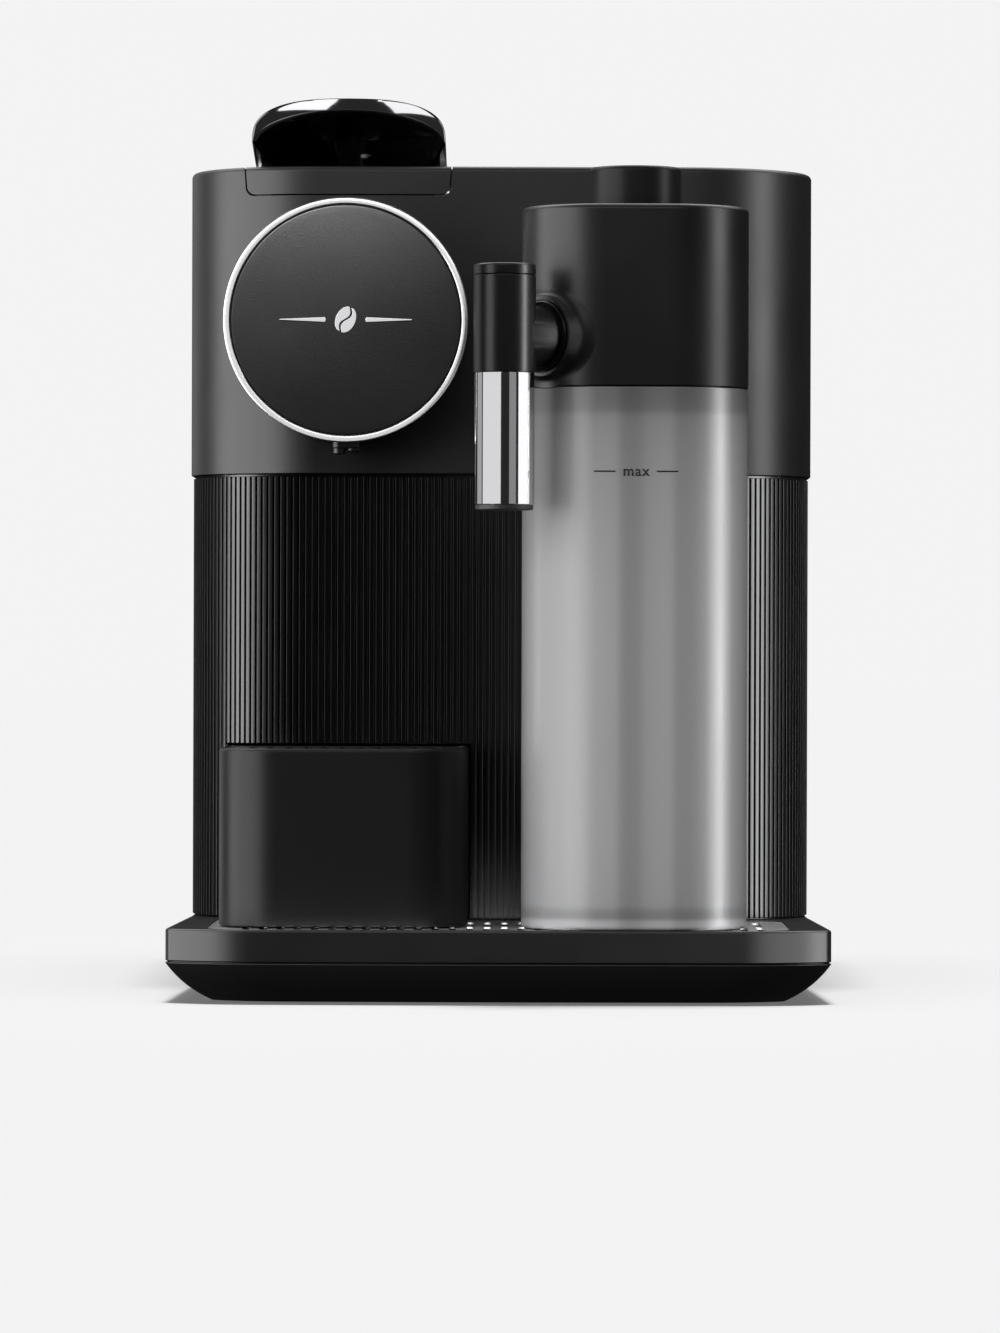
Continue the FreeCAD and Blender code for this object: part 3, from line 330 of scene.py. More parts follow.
def paint_jar_light_and_shade(material):
    """Paint light and shade into the frosted wall's colour, across it and up it: painted highlights where
    the lights fall, and painted shade where the dip tube and the lid's collar would show dimly through.
    """
    tree = material.node_tree
    shader = tree.nodes["Principled BSDF"]
    colour = shader.inputs["Base Color"].links[0].from_socket
    split = add(tree, "SeparateXYZ", {"Vector": add(tree, "TexCoord").outputs["Object"]})
    for axis, (low, high), stops in JAR_PAINTED_LIGHT:
        span = add(tree, "MapRange", {"Value": split.outputs[axis], "From Min": low, "From Max": high})
        ramp = add(tree, "FloatCurve", {"Value": span.outputs["Result"]})
        curve = ramp.mapping.curves[0]
        for i, (where, value) in enumerate(stops):
            if i < 2:
                curve.points[i].location = (where, value)
            else:
                curve.points.new(where, value)
        ramp.mapping.update()
        scaled = add(tree, "VectorMath", {"Vector": colour, "Scale": ramp.outputs["Value"]},
                     operation="SCALE")
        colour = scaled.outputs["Vector"]
    tree.links.new(colour, shader.inputs["Base Color"])


def grey(value):
    return (value, value, value * 1.02)


# Name, dark and light value, least and most roughness, relief, and what else is set.
LOOKS = (
    ("matt_black", 0.006, 0.010, 0.36, 0.42, 0.10, {}),
    ("lid_black", 0.004, 0.007, 0.34, 0.40, 0.08, {"Specular_IOR_Level": 0.36}),
    ("rib_black", 0.0008, 0.0016, 0.285, 0.32, 0.05, {"Specular_IOR_Level": 0.50}),
    ("satin_band", 0.007, 0.011, 0.30, 0.36, 0.06, {}),
    ("pan_black", 0.014, 0.018, 0.40, 0.46, 0.04, {}),
    ("drawer_black", 0.010, 0.014, 0.34, 0.40, 0.08, {"Specular_IOR_Level": 0.20}),
    ("knob_black", 0.008, 0.012, 0.34, 0.40, 0.08, {"Specular_IOR_Level": 0.12}),
    ("spout_black", 0.006, 0.010, 0.285, 0.33, 0.05, {"Specular_IOR_Level": 0.32}),
    ("disc_black", 0.004, 0.008, 0.30, 0.34, 0.22, {"Specular_IOR_Level": 0.6}),
    ("gloss_black", 0.004, 0.006, 0.06, 0.10, 0.01, {}),
    ("rubber", 0.012, 0.020, 0.65, 0.80, 0.2, {"grain": 1400}),
    ("inner_black", 0.012, 0.020, 0.50, 0.60, 0.15, {"grain": 1800}),
    ("inner_grey", 0.16, 0.21, 0.50, 0.60, 0.12, {"grain": 1500}),
    ("chrome", 0.78, 0.84, 0.05, 0.09, 0.004, {"metallic": 1.0}),
    ("ring_metal", 0.74, 0.82, 0.20, 0.26, 0.02, {"metallic": 1.0}),
    ("steel", 0.45, 0.60, 0.285, 0.36, 0.05, {"grain": 300, "stretch": (12, 1, 12), "metallic": 1.0}),
    ("steel_part", 0.42, 0.56, 0.285, 0.38, 0.03, {"metallic": 1.0}),
    ("cast_alu", 0.50, 0.62, 0.40, 0.55, 0.25, {"grain": 900, "metallic": 1.0}),
    ("silicone", 0.45, 0.55, 0.40, 0.50, 0.04, {"Transmission_Weight": 0.35}),
    ("frosted", 0.44, 0.48, 0.29, 0.34, 0.02, {"Transmission_Weight": 0.12, "IOR": 1.45}),
    ("smoked", 0.30, 0.34, 0.08, 0.14, 0.01, {"Transmission_Weight": 0.9, "IOR": 1.45}),
    ("print_white", 0.62, 0.70, 0.40, 0.50, 0.02, {}),
    ("mark_dark", 0.006, 0.010, 0.45, 0.55, 0.02, {}),
)
look = {}
for label, dark, light, smooth_end, rough_end, relief, extra in LOOKS:
    look[label] = surface(label, grey(dark), grey(light), (smooth_end, rough_end), bump=relief, **extra)
look["board_green"] = surface("board_green", (0.01, 0.07, 0.03), (0.02, 0.11, 0.05), (0.30, 0.40), bump=0.05)
# Painted highlights and painted shade go into the frosted wall's colour.
paint_jar_light_and_shade(look["frosted"])

SLOT_LOOK = {"satin_dark": "satin_band", "chrome_trim": "chrome", "steel_grid": "steel",
             "frosted_clear": "frosted", "smoke_clear": "smoked", "rubber_black": "rubber"}
for part in frame["record"]["subparts"]:
    slot_name = part["material_slot"]
    for cad_slot in nodes[part["node"]].material_slots:
        cad_slot.material = look[SLOT_LOOK.get(slot_name, slot_name)]


# ---- Base: pan, band, grid ----
BASE_TOP, BAND_BOTTOM = 22.5, 12.7
DEEP = 353.8                 # depth of the back of the machine
REAR_CORNER = 34.0
TRAY_REAR = 90.2


def base_points():
    """Right half of the base's outline, from the middle of the front round to the back."""
    flat, bow, shoulder, tip = 73.5, 1.5, 42.0, 5.0
    bow_radius = (flat ** 2 + bow ** 2) / (2 * bow)
    start = math.asin(flat / bow_radius)
    points = []

    def arc(origin, radius, low, high, steps):
        for i in range(1, steps + 1):
            angle = low + (high - low) * i / steps
            points.append((origin[0] + radius * (math.sin(angle) - math.sin(low)),
                           origin[1] + radius * (math.cos(low) - math.cos(angle))))

    points.append((0.0, 0.0))
    arc((0.0, 0.0), bow_radius, 0.0, start, 8)
    arc(points[-1], shoulder, start, math.radians(40), 14)
    arc(points[-1], tip, math.radians(40), math.radians(91.5), 12)
    points.append((97.8, 121.0))
    points.append((97.8, DEEP - REAR_CORNER))
    arc(points[-1], REAR_CORNER, math.pi / 2, math.pi, 24)
    return points


def base_outline(inset):
    right = base_points()
    half = max(x for x, _ in right)
    middle = DEEP / 2
    fit_x, fit_y = 1 - inset / half, 1 - inset / middle
    both = right + [(-x, d) for x, d in reversed(right[1:])]
    return [(x * fit_x, at(middle + (d - middle) * fit_y)) for x, d in both]


PAN_LOW = 0.35               # the pan's skirt hides the feet


def build_base():
    top = BAND_BOTTOM - 0.4
    profile = [(1.3, BAND_BOTTOM - 0.02), (1.3, top), (0.25, top), (0.06, top - 0.08), (0.0, top - 0.25)]
    steps, inset, sag = 12, 13.6, 1.2
    drop = top - 0.25 - PAN_LOW
    length = math.hypot(inset, drop)
    for i in range(1, steps + 1):
        t = i / steps
        bulge = 4 * sag * t * (1 - t)
        profile.append((inset * t - bulge * drop / length, top - 0.25 - drop * t - bulge * inset / length))
    profile.append((inset + 1.0, PAN_LOW))
    pan = loft("pan", base_outline, profile)
    holes = []
    for x in (-70, 70):
        for depth in (34, 318):
            holes.append(drill(x, depth, -1, 9.3, 3.5))
    for x in (-62, 62):
        for depth in (110, 200, 290):
            holes.append(drill(x, depth, -1, 3.6, 3.6, steps=32))
    dress(carve(pan, holes), "machine", "matt_black", "pan_black", "base_pan")

    side = [(0.35, BAND_BOTTOM), (0.08, BAND_BOTTOM + 0.1), (0.0, BAND_BOTTOM + 0.35)]
    side += quarter((0.0, BASE_TOP - 0.8), (0.8, BASE_TOP))
    rear = loft("rear_band", base_outline, side)
    hollow = pocket((-92, 92), (TRAY_REAR + 6, DEEP - 4), 20, REAR_CORNER - 4, [(0, 11), (0, 24)])
    front_half = block((-130, 130), (-20, TRAY_REAR + 0.3), (5, 30))
    rear = carve(rear, [front_half, hollow])
    dress(bevel(rear, 0.12, 1, 60), "machine", "satin_dark", "satin_band", "base_rim")

    tray = loft("tray", base_outline, side)
    rear_half = block((-130, 130), (TRAY_REAR, 500), (5, 30))
    basin = pocket((-86, 86), (5.5, 86), 14, 4,
                   [(3, BAND_BOTTOM + 1.8), (0, BAND_BOTTOM + 4), (0, 30)])
    ledge = pocket((-88.4, 88.4), (3.1, 88.4), 16, 4, [(0, 21.3), (0, 30)])
    tray = carve(tray, [rear_half, basin, ledge])
    dress(bevel(tray, 0.15, 2, 50), "drip_tray", "satin_dark", "satin_band", "drip_tray")
    dress(soften("drip_grid", "grid_plate", 0.25, 2), "drip_tray", "steel_grid", "steel", "drip_grid")


# ---- Ribbed body ----
BODY_HALF, BODY_FRONT, BODY_CORNER, BODY_REAR = 97.8, 92.0, 40.0, 306.0
RIB_PITCH = 2.0098
RIB_TOP_STEP = 161.8
DRAWER_X, DRAWER_HALF, DRAWER_TOP = -47.5, 37.75, 76.8


def body_point(along, out, z):
    """Point on the body's outline at a length from the middle of the front, moved outwards."""
    flat = BODY_HALF - BODY_CORNER
    turn = BODY_CORNER * math.pi / 2
    a = abs(along)
    if a <= flat:
        x, depth = a, BODY_FRONT - out
    elif a <= flat + turn:
        angle = (a - flat) / BODY_CORNER
        x = flat + (BODY_CORNER + out) * math.sin(angle)
        depth = BODY_FRONT + BODY_CORNER - (BODY_CORNER + out) * math.cos(angle)
    else:
        x, depth = BODY_HALF + out, BODY_FRONT + BODY_CORNER + a - flat - turn
    return (math.copysign(x, along), at(depth), z)


def build_ribs():
    rib = [(0.70, -0.80), (0.69, -0.12), (0.672, -0.05), (0.63, -0.012), (0.55, 0.0)]
    half = [(-a, out) for a, out in rib]
    section = half + [(0.0, 0.015)] + [(a, out) for a, out in reversed(rib)]
    reach = BODY_HALF - BODY_CORNER + BODY_CORNER * math.pi / 2 + BODY_REAR - BODY_FRONT - BODY_CORNER
    count = int((reach - 1.2) / RIB_PITCH)
    stations = [(-reach, -0.8)]
    for k in range(-count, count + 1):
        stations += [(k * RIB_PITCH + a, out) for a, out in section]
    stations.append((reach, -0.8))
    low, high = BASE_TOP + 0.2, RIB_TOP_STEP
    heights = [(low, -0.8, -0.8), (low + 0.25, -0.8, -0.8), (low + 0.25, -0.8, -0.3),
               (low + 0.5, -0.8, 1.0), (high - 0.75, -0.8, 1.0), (high - 0.6, -0.8, -0.3),
               (high - 0.6, -0.8, -0.8), (high, -0.8, -0.8), (high, -2.8, -2.8), (low, -2.8, -2.8)]
    rows = []
    for z, floor, roof in heights:
        rows.append([body_point(a, min(max(out, floor), roof), z) for a, out in stations])
    wall = sweep_rows("ribbed_wall", rows, close_rows=True, caps=(0, -1), sharp=38)
    mouth = block((DRAWER_X - DRAWER_HALF - 0.6, DRAWER_X + DRAWER_HALF + 0.6), (80, 112),
                  (15, DRAWER_TOP + 0.8))
    dress(carve(wall, [mouth], sharp=38), "machine", "matt_black", "rib_black", "fluted_panel")


# ---- Head ----
HEAD_HALF, HEAD_FRONT = 98.6, 91.2
HEAD_BOTTOM, HEAD_TOP = 162.0, 258.3
BREW_X, DRUM_Z = -48.0, 209.0
COVER_REAR = 104.0


def head_solid(name):
    profile = [(0.45, HEAD_BOTTOM), (0.1, HEAD_BOTTOM + 0.12), (0.0, HEAD_BOTTOM + 0.45)]
    profile += quarter((0.0, HEAD_TOP - 1.6), (1.6, HEAD_TOP), steps=7)
    return loft(name, rounded((-HEAD_HALF, HEAD_HALF), (HEAD_FRONT, BODY_REAR), BODY_CORNER + 0.8, 0, 32),
                profile)


def cover_outline(grow):
    """Outline of the front cover across and up: flanks lean in a little, lower corners are round."""
    bottom, radius, half, lean = 249.35 - grow, 2.8, 32.6 + grow, 0.55
    points = [(half + 0.1, HEAD_TOP + 3), (-half - 0.1, HEAD_TOP + 3)]
    for side, start in ((-1, math.pi), (1, -math.pi / 2)):
        for i in range(9):
            angle = start + math.pi / 2 * i / 8
            points.append((side * (half - lean - radius) + radius * math.cos(angle),
                           bottom + radius + radius * math.sin(angle)))
    return [(BREW_X + x, z) for x, z in points]


def build_head():
    head = head_solid("head")
    cuts = [pocket((-95.8, 95.8), (94, 320), 38, 0, [(0, 150), (0, 255.5)]),
            extrude("cut", cover_outline(0.24), 80, 105),
            pocket((BREW_X - 31.2, BREW_X + 31.2), (COVER_REAR, 178.8), 3, 1.5, [(0, 240), (0, 270)]),
            pocket((5.8, 86.2), (149.8, 286.2), 8, 8, [(0, 256.7), (0, 270)]),
            pocket((10, 82), (154, 282), 5, 5, [(0, 250), (0, 270)]),
            drill(41, 80, 205, 11.2, 20, (0, 1, 0), 96),
            drill(BREW_X, 80, DRUM_Z, 8.2, 20, (0, 1, 0), 96)]
    head = carve(head, cuts)
    dress(bevel(head, 0.16, 2, 50), "machine", "matt_black", "matt_black", "head_shell")
    cover = head_solid("front_cover")
    keep = extrude("cut", cover_outline(-0.22), 80, COVER_REAR - 0.2)
    carve(cover, [keep], how="INTERSECT")
    cover = carve(cover, [pocket((-95.4, 95.4), (94.2, 320), 37.6, 0, [(0, 230), (0, 255.9)])])
    dress(bevel(cover, 0.16, 2, 50), "machine", "matt_black", "matt_black", "brew_cover")


def cup_icon(x, depth, size, foam):
    """Outline of a cup seen from the side with a handle, as flat strips on the glass."""
    z = HEAD_TOP + 0.11
    strips = []

    def stroke(points, width=0.5):
        for (ax, ad), (bx, bd) in zip(points, points[1:]):
            length = math.hypot(bx - ax, bd - ad) or 1.0
            nx, nd = (ad - bd) / length * width / 2, (bx - ax) / length * width / 2
            strips.append([(ax + nx, ad + nd), (bx + nx, bd + nd), (bx - nx, bd - nd), (ax - nx, ad - nd)])

    w, h = size, size * 0.9
    stroke([(x - w / 2, depth - h / 2), (x - w * 0.36, depth + h / 2), (x + w * 0.36, depth + h / 2),
            (x + w / 2, depth - h / 2), (x - w / 2, depth - h / 2)])
    handle = []
    for i in range(9):
        angle = math.radians(-100 + 200 * i / 8)
        handle.append((x + w * 0.45 + w * 0.2 * math.cos(angle),
                       depth - h * 0.08 + h * 0.24 * math.sin(angle)))
    stroke(handle)
    for k in range(foam):
        level = depth - h * 0.28 + h * 0.2 * k
        stroke([(x - w * 0.40 + 0.1 * k * w, level), (x + w * 0.40 - 0.1 * k * w, level)])
    verts, faces = [], []
    for strip in strips:
        start = len(verts)
        verts += [(px, at(2 * depth - pd), z) for px, pd in strip]
        verts += [(px, at(2 * depth - pd), z + 0.06) for px, pd in strip]
        faces += [tuple(range(start, start + 4)), tuple(range(start + 7, start + 3, -1))]
        faces += [(start + i, start + (i + 1) % 4, start + 4 + (i + 1) % 4, start + 4 + i)
                  for i in range(4)]
    return make("icon", verts, faces)


def build_panel():
    profile = [(0.15, 256.75), (0.0, 256.9), (0.0, HEAD_TOP - 0.1), (0.08, HEAD_TOP + 0.04),
               (0.25, HEAD_TOP + 0.1)]
    glass = loft("key_glass", rounded((6, 86), (150, 286), 8, 8, 16), profile)
    dress(glass, "machine", "gloss_black", "gloss_black", "touch_panel")
    icons = []
    sizes = ((9.0, 0), (11.5, 0), (13.5, 1), (13.5, 2), (13.5, 3), (10.5, 1))
    for i, (size, foam) in enumerate(sizes):
        icons.append(cup_icon(29 + 34 * (i % 2), 174 + 42 * (i // 2), size, foam))
    mark = join(*icons)
    mark.name = "key_icons"
    dress(mark, "machine", "gloss_black", "print_white")


# ---- Drum with the coffee outlet ----
def build_drum():
    rear = HEAD_FRONT
    centre = (BREW_X, at(rear), DRUM_Z)
    forward = (0, -1, 0)
    depth = rear - 69.6
    wall = lathe("drum_wall", centre, forward,
                 [(37.5, 0.0), (37.5, 0.35), (37.8, 0.7), (37.8, depth - 0.25),
                  (37.55, depth), (36.5, depth)], 160)
    dress(wall, "machine", "matt_black", "matt_black", "drum_housing")
    front = rear - 67.0
    trim = [(37.75, depth - 0.05), (38.0, depth + 0.25), (38.0, front - 0.55), (37.85, front - 0.2),
            (37.5, front), (36.7, front + 0.04), (36.25, front - 0.05), (36.0, front - 0.3),
            (36.0, depth - 0.05)]
    dress(ring("trim_ring", centre, forward, trim, 192), "machine", "chrome_trim", "ring_metal", "drum_ring")
    edge, sag = front - 0.75, 0.95
    profile = [(35.55, depth), (35.55, edge - 0.25), (35.42, edge - 0.06), (35.1, edge + 0.02)]
    for i in range(1, 17):
        r = 35.1 * (1 - i / 16.5)
        profile.append((r, edge + sag * (1 - (r / 35.1) ** 2)))
    dress(lathe("drum_face", centre, forward, profile, 160), "machine", "satin_dark", "disc_black",
          "drum_disc")

    face = edge + sag
    lean = math.radians(-24)
    marks = []
    for side in (1, -1):
        half = []
        for i in range(33):
            t = i / 32
            crease = 0.9 * math.sin(2 * math.pi * t) + 0.32 * side
            half.append((crease, 4.1 * (1 - 2 * t) * 0.93))
        for i in range(33):
            angle = math.pi * (i / 32 - 0.5)
            half.append((side * (0.32 + 2.75 * math.cos(angle)), 4.1 * math.sin(angle)))
        marks.append([(x * math.cos(lean) - z * math.sin(lean),
                       x * math.sin(lean) + z * math.cos(lean)) for x, z in half])
    for side in (1, -1):
        marks.append([(side * 6.4, 0.75), (side * 6.1, 0.0), (side * 6.4, -0.75), (side * 20.4, -0.16),
                      (side * 20.6, 0.0), (side * 20.4, 0.16)])
    parts = []
    for outline in marks:
        outline = [(BREW_X + x, DRUM_Z + z) for x, z in outline]
        plate = extrude("emblem", outline, rear - face - 0.35, rear - face + 0.7)
        parts.append(bevel(plate, 0.1, 2, 50))
    dress(join(*parts), "machine", "chrome_trim", "ring_metal")

    body = loft("outlet", rounded((BREW_X - 4.2, BREW_X + 4.2), (74, 86), 2.0, 2.0),
                [(0.3, 169.4), (0.0, 169.7), (0.0, 183.5), (0.6, 184)])
    tips = []
    for x0, x1, low in ((BREW_X - 4.0, BREW_X - 0.25, 167.6), (BREW_X + 0.25, BREW_X + 4.0, 168.4)):
        tips.append(loft("tip", rounded((x0, x1), (75, 85), 1.7, 1.7),
                         [(0.35, low), (0.0, low + 0.35), (0.0, 170.5)]))
    body = carve(body, tips, how="UNION")
    bores = [drill(BREW_X + x, 80, 160, 1.2, 16, steps=32) for x in (-2.1, 2.1)]
    dress(carve(body, bores), "machine", "matt_black", "matt_black", "coffee_nozzle")


# ---- Lever ----
LEVER_HALF, LEVER_TOP, LEVER_FRONT = 30.4, 279.6, 92.0
PIVOT_DEPTH, PIVOT_Z, BARREL = 165.0, 252.0, 12.6
FLANK_FRONT, FLANK_REAR, FLANK_END = 266.6, 259.0, 150.0
LEVER_FALL = 3.2             # how late the top turns down towards the barrel
ACROSS = 48


def smooth(value):
    value = min(max(value, 0.0), 1.0)
    return value * value * (3 - 2 * value)


def lever_levels(depth):
    """Bottom of the flanks and top of the arch at one depth."""
    t = max((depth - LEVER_FRONT) / (PIVOT_DEPTH - LEVER_FRONT), 0.0)
    radius = BARREL + 0.4
    if t <= 1:
        top = LEVER_TOP - (LEVER_TOP - PIVOT_Z - radius) * t ** LEVER_FALL
    else:
        top = PIVOT_Z + math.sqrt(radius ** 2 - (depth - PIVOT_DEPTH) ** 2)
    slope = min(max((depth - LEVER_FRONT) / (FLANK_END - LEVER_FRONT), 0.0), 1.0)
    return FLANK_FRONT + (FLANK_REAR - FLANK_FRONT) * slope, top


def arch(half, low, high, power):
    """Superellipse arch across the lever, from one foot to the other."""
    points = []
    for i in range(ACROSS + 1):
        angle = math.pi * (1 - i / ACROSS)
        c, s = math.cos(angle), math.sin(angle)
        points.append((BREW_X + math.copysign(abs(c) ** (2 / power), c) * half,
                       low + abs(s) ** (2 / power) * (high - low)))
    return points


def bowed(x, depth):
    """Depth of a point of the lever whose front edge is bowed in plan."""
    return at(depth + (x - BREW_X) ** 2 / 160 * max(0.0, 1 - (depth - LEVER_FRONT) / 36))


def outer_arch(depth, inset=0.0):
    low, high = lever_levels(depth)
    return arch(LEVER_HALF - inset, low, high - inset, 2.8)


def inner_arch(depth, inset=0.0):
    """Inside of the chromed skin: an ellipse at the lip that soon runs 2 mm inside the outside."""
    mix = smooth((depth - LEVER_FRONT) / 24)
    lip = arch(29.9 - inset, 265.5, 275.9 - inset, 2.05)
    skin = outer_arch(depth, 2.0 + inset)
    return [(a[0] + (b[0] - a[0]) * mix, a[1] + (b[1] - a[1]) * mix) for a, b in zip(lip, skin)]


def build_lever():
    depths = [95, 98, 102, 107, 113, 120, 127, 134, 140, 146, 151, 155, 159, 162,
              165, 167, 169, 171, 173, 174.4, 175.6]
    lip_slope = math.tan(math.radians(14))
    rows = []
    inner, outer = inner_arch(LEVER_FRONT), outer_arch(LEVER_FRONT)
    for f in (0.0, 0.06, 0.2, 0.4, 0.6, 0.8, 0.94):
        row = []
        for a, b in zip(inner, outer):
            thick = math.hypot(b[0] - a[0], b[1] - a[1])
            crown = 0.12 * (1 - (2 * f - 1) ** 2)
            edge = 0.25 if f == 0.0 else 0.0
            x = a[0] + (b[0] - a[0]) * f
            row.append((x, bowed(x, LEVER_FRONT + lip_slope * thick * f - crown + edge + 0.1),
                        a[1] + (b[1] - a[1]) * f))
        rows.append(row)
    for depth in depths:
        rows.append([(x, bowed(x, depth), z) for x, z in outer_arch(depth)])
    for depth in reversed(depths):
        rows.append([(x, bowed(x, depth), z) for x, z in inner_arch(min(depth, 174.0))])
    first = []
    for a, b in zip(inner, outer_arch(93.0)):
        thick = math.hypot(b[0] - a[0], b[1] - a[1])
        first.append((b[0], bowed(b[0], LEVER_FRONT + lip_slope * thick + 0.45), b[1]))
    rows.insert(7, first)
    shell = sweep_rows("lever_skin", rows, close_rows=True, caps=(0, -1), sharp=40)
    dress(shell, "lever", "chrome_trim", "chrome", "lever_shell")

    rows = []
    for depth in (92.7, 94, 97, 101, 106, 112, 120, 128, 136, 144, 150, 156, 161, 165, 168, 171, 173.3):
        section = inner_arch(depth, 0.06)
        low = lever_levels(depth)[0]
        rows.append([(x, bowed(x, depth), low if i in (0, ACROSS) else max(z, low))
                     for i, (x, z) in enumerate(section)])
    liner = sweep_rows("lever_inside", rows, close_columns=True, ends=True)

    def scoop(back, roof, narrow, floor):
        """Finger space: open to the front, with a wall that bows backwards in the middle."""
        stations = [80, 91, 93, 96, 100, 105, 110, 115, 118, back - 0.8, back - 0.05]
        stations += [back - 30 + 30 * (i / 10) for i in range(1, 10)]
        tops = []
        for depth in sorted(set(stations)):
            mix = smooth((depth - LEVER_FRONT) / 26)
            half = 29.4 + (27.2 - 29.4) * mix
            if depth > back - 30:
                half = min(half, 27.2 * math.sqrt(max((back - depth) / 30, 0.0)))
            middle = min(275.5 - 0.091 * max(depth - LEVER_FRONT, 0.0), roof)
            row = []
            for i in range(33):
                c = -1 + 2 * i / 32
                x = c * half * narrow
                at_lip = 10.3 * (1 - math.sqrt(max(1 - (x / 29.5) ** 2, 0.0)))
                further = 2.9 * (x / 27.0) ** 2
                drop = at_lip + (further - at_lip) * mix if roof > 274 else 0.0
                y = bowed(BREW_X + x, max(depth, LEVER_FRONT)) + min(depth - LEVER_FRONT, 0.0)
                row.append((BREW_X + x, y, middle - drop))
            tops.append(row)
        rows_cut = [row + [(x, y, floor) for x, y, _ in reversed(row)] for row in tops]
        return sweep_rows("cut", rows_cut, close_columns=True, ends=True)

    liner = carve(liner, [scoop(148.0, 300.0, 1.0, 240.0), scoop(154.6, 266.0, 0.985, 236.0)])
    barrel = lathe("barrel", (BREW_X - 26.2, at(PIVOT_DEPTH), PIVOT_Z), (1, 0, 0),
                   [(11.4, 0), (11.9, 0.5), (11.9, 51.9), (11.4, 52.4)], 96)
    axle_hole = drill(BREW_X - 40, PIVOT_DEPTH, PIVOT_Z, 3.6, 80, (1, 0, 0))
    liner = carve(liner, [barrel], how="UNION")
    liner = carve(liner, [axle_hole])
    dress(liner, "lever", "gloss_black", "gloss_black", "lever_liner")


# ---- Capsule drawer with the cup stand ----
def build_drawer():
    x = (DRAWER_X - DRAWER_HALF, DRAWER_X + DRAWER_HALF)
    low = BASE_TOP + 0.3
    profile = [(0.6, low), (0.15, low + 0.15), (0.0, low + 0.6)]
    profile += quarter((0.0, DRAWER_TOP - 1.2), (1.2, DRAWER_TOP), steps=6)
    box = loft("drawer", rounded(x, (16, 178), 18, 6, 20), profile)
    x_in = (x[0] + 2.2, x[1] - 2.2)
    cuts = [pocket(x_in, (18.2, 86), 15.8, 2, [(0, DRAWER_TOP - 16), (0, DRAWER_TOP + 5)]),
            pocket(x_in, (88.2, 175.8), 3, 4,
                   [(2, low + 2.2), (0, low + 4.2), (0, DRAWER_TOP + 5)]),
            block((x[0] - 1, x[1] + 1), (100, 200), (DRAWER_TOP - 4, DRAWER_TOP + 5)),
            pocket((x[0] + 1.4, x[1] - 1.4), (17.4, 87.4), 16.6, 2,
                   [(0, DRAWER_TOP - 1.6), (0, DRAWER_TOP + 5)]),
            pocket(x_in, (18.2, 86), 15.8, 2, [(0, low - 1), (0, DRAWER_TOP - 19)])]
    box = carve(box, cuts)
    dress(bevel(box, 0.15, 2, 50), "capsule_drawer", "matt_black", "drawer_black", "capsule_drawer")
    dress(soften("cup_stand_grid", "cup_grid_plate", 0.3, 3), "cup_grid", "matt_black", "matt_black",
          "cup_stand_grid")


# ---- Milk container ----
JAR_X, JAR_HALF, JAR_FRONT, JAR_DEEP, JAR_CORNER = 41.0, 34.2, 1.5, 70.0, 25.0
JAR_LOW, JAR_TOP, LID_TOP = 22.6, 186.0, 241.0


def jar_outline(steps=24):
    return rounded((JAR_X - JAR_HALF, JAR_X + JAR_HALF), (JAR_FRONT, JAR_FRONT + JAR_DEEP), JAR_CORNER,
                   JAR_CORNER, steps)


def jar_front(x):
    """Depth of the container's front at a place across it."""
    past = max(abs(x - JAR_X) - (JAR_HALF - JAR_CORNER), 0.0)
    return JAR_FRONT + JAR_CORNER - math.sqrt(JAR_CORNER ** 2 - past ** 2)


MARK_Z = 160.5


def build_jar():
    wall, floor = 1.8, 2.4
    profile = quarter((1.2, JAR_LOW), (0.0, JAR_LOW + 1.2), upright_first=False, steps=6)
    profile += [(0.0, JAR_TOP - 0.5), (0.15, JAR_TOP - 0.15), (0.5, JAR_TOP), (wall - 0.4, JAR_TOP),
                (wall, JAR_TOP - 0.4)]
    inner = quarter((wall + 2.2, JAR_LOW + floor), (wall, JAR_LOW + floor + 2.2), upright_first=False,
                    steps=6)
    profile += list(reversed(inner))
    dress(loft("milk_jar", jar_outline(), profile, 40), "milk_container", "frosted_clear", "frosted",
          "milk_container")

    curve = bpy.data.curves.new("mark_text", "FONT")
    curve.body = "max"
    curve.align_x, curve.align_y = "CENTER", "CENTER"
    curve.size = 4.4 * MM
    curve.space_character = 1.12
    curve.offset = 0.05 * MM
    text = put("mark_text", curve)
    mesh = evaluated(text)
    bpy.data.objects.remove(text)
    flat = bmesh.new()
    flat.from_mesh(mesh)
    bmesh.ops.remove_doubles(flat, verts=flat.verts, dist=1e-6)
    for x0, x1 in ((-12.7, -6.2), (6.2, 12.7)):
        for i in range(8):
            a, b = x0 + (x1 - x0) * i / 8, x0 + (x1 - x0) * (i + 1) / 8
            corners = ((a, -0.21), (b, -0.21), (b, 0.21), (a, 0.21))
            flat.faces.new([flat.verts.new((x * MM, y * MM, 0)) for x, y in corners])
    bmesh.ops.remove_doubles(flat, verts=flat.verts, dist=1e-6)
    raised = bmesh.ops.extrude_face_region(flat, geom=flat.faces[:])
    for item in raised["geom"]:
        if isinstance(item, bmesh.types.BMVert):
            item.co.z = MM
    for vert in flat.verts:
        x, z = JAR_X + vert.co.x / MM, MARK_Z + vert.co.y / MM
        proud = 0.12 if vert.co.z > 0 else -0.04
        vert.co = Vector((x, at(jar_front(x) - proud), z)) * MM
    bmesh.ops.recalc_face_normals(flat, faces=flat.faces[:])
    flat.to_mesh(mesh)
    flat.free()
    dress(put("fill_mark", mesh), "milk_container", "matt_black", "mark_dark")


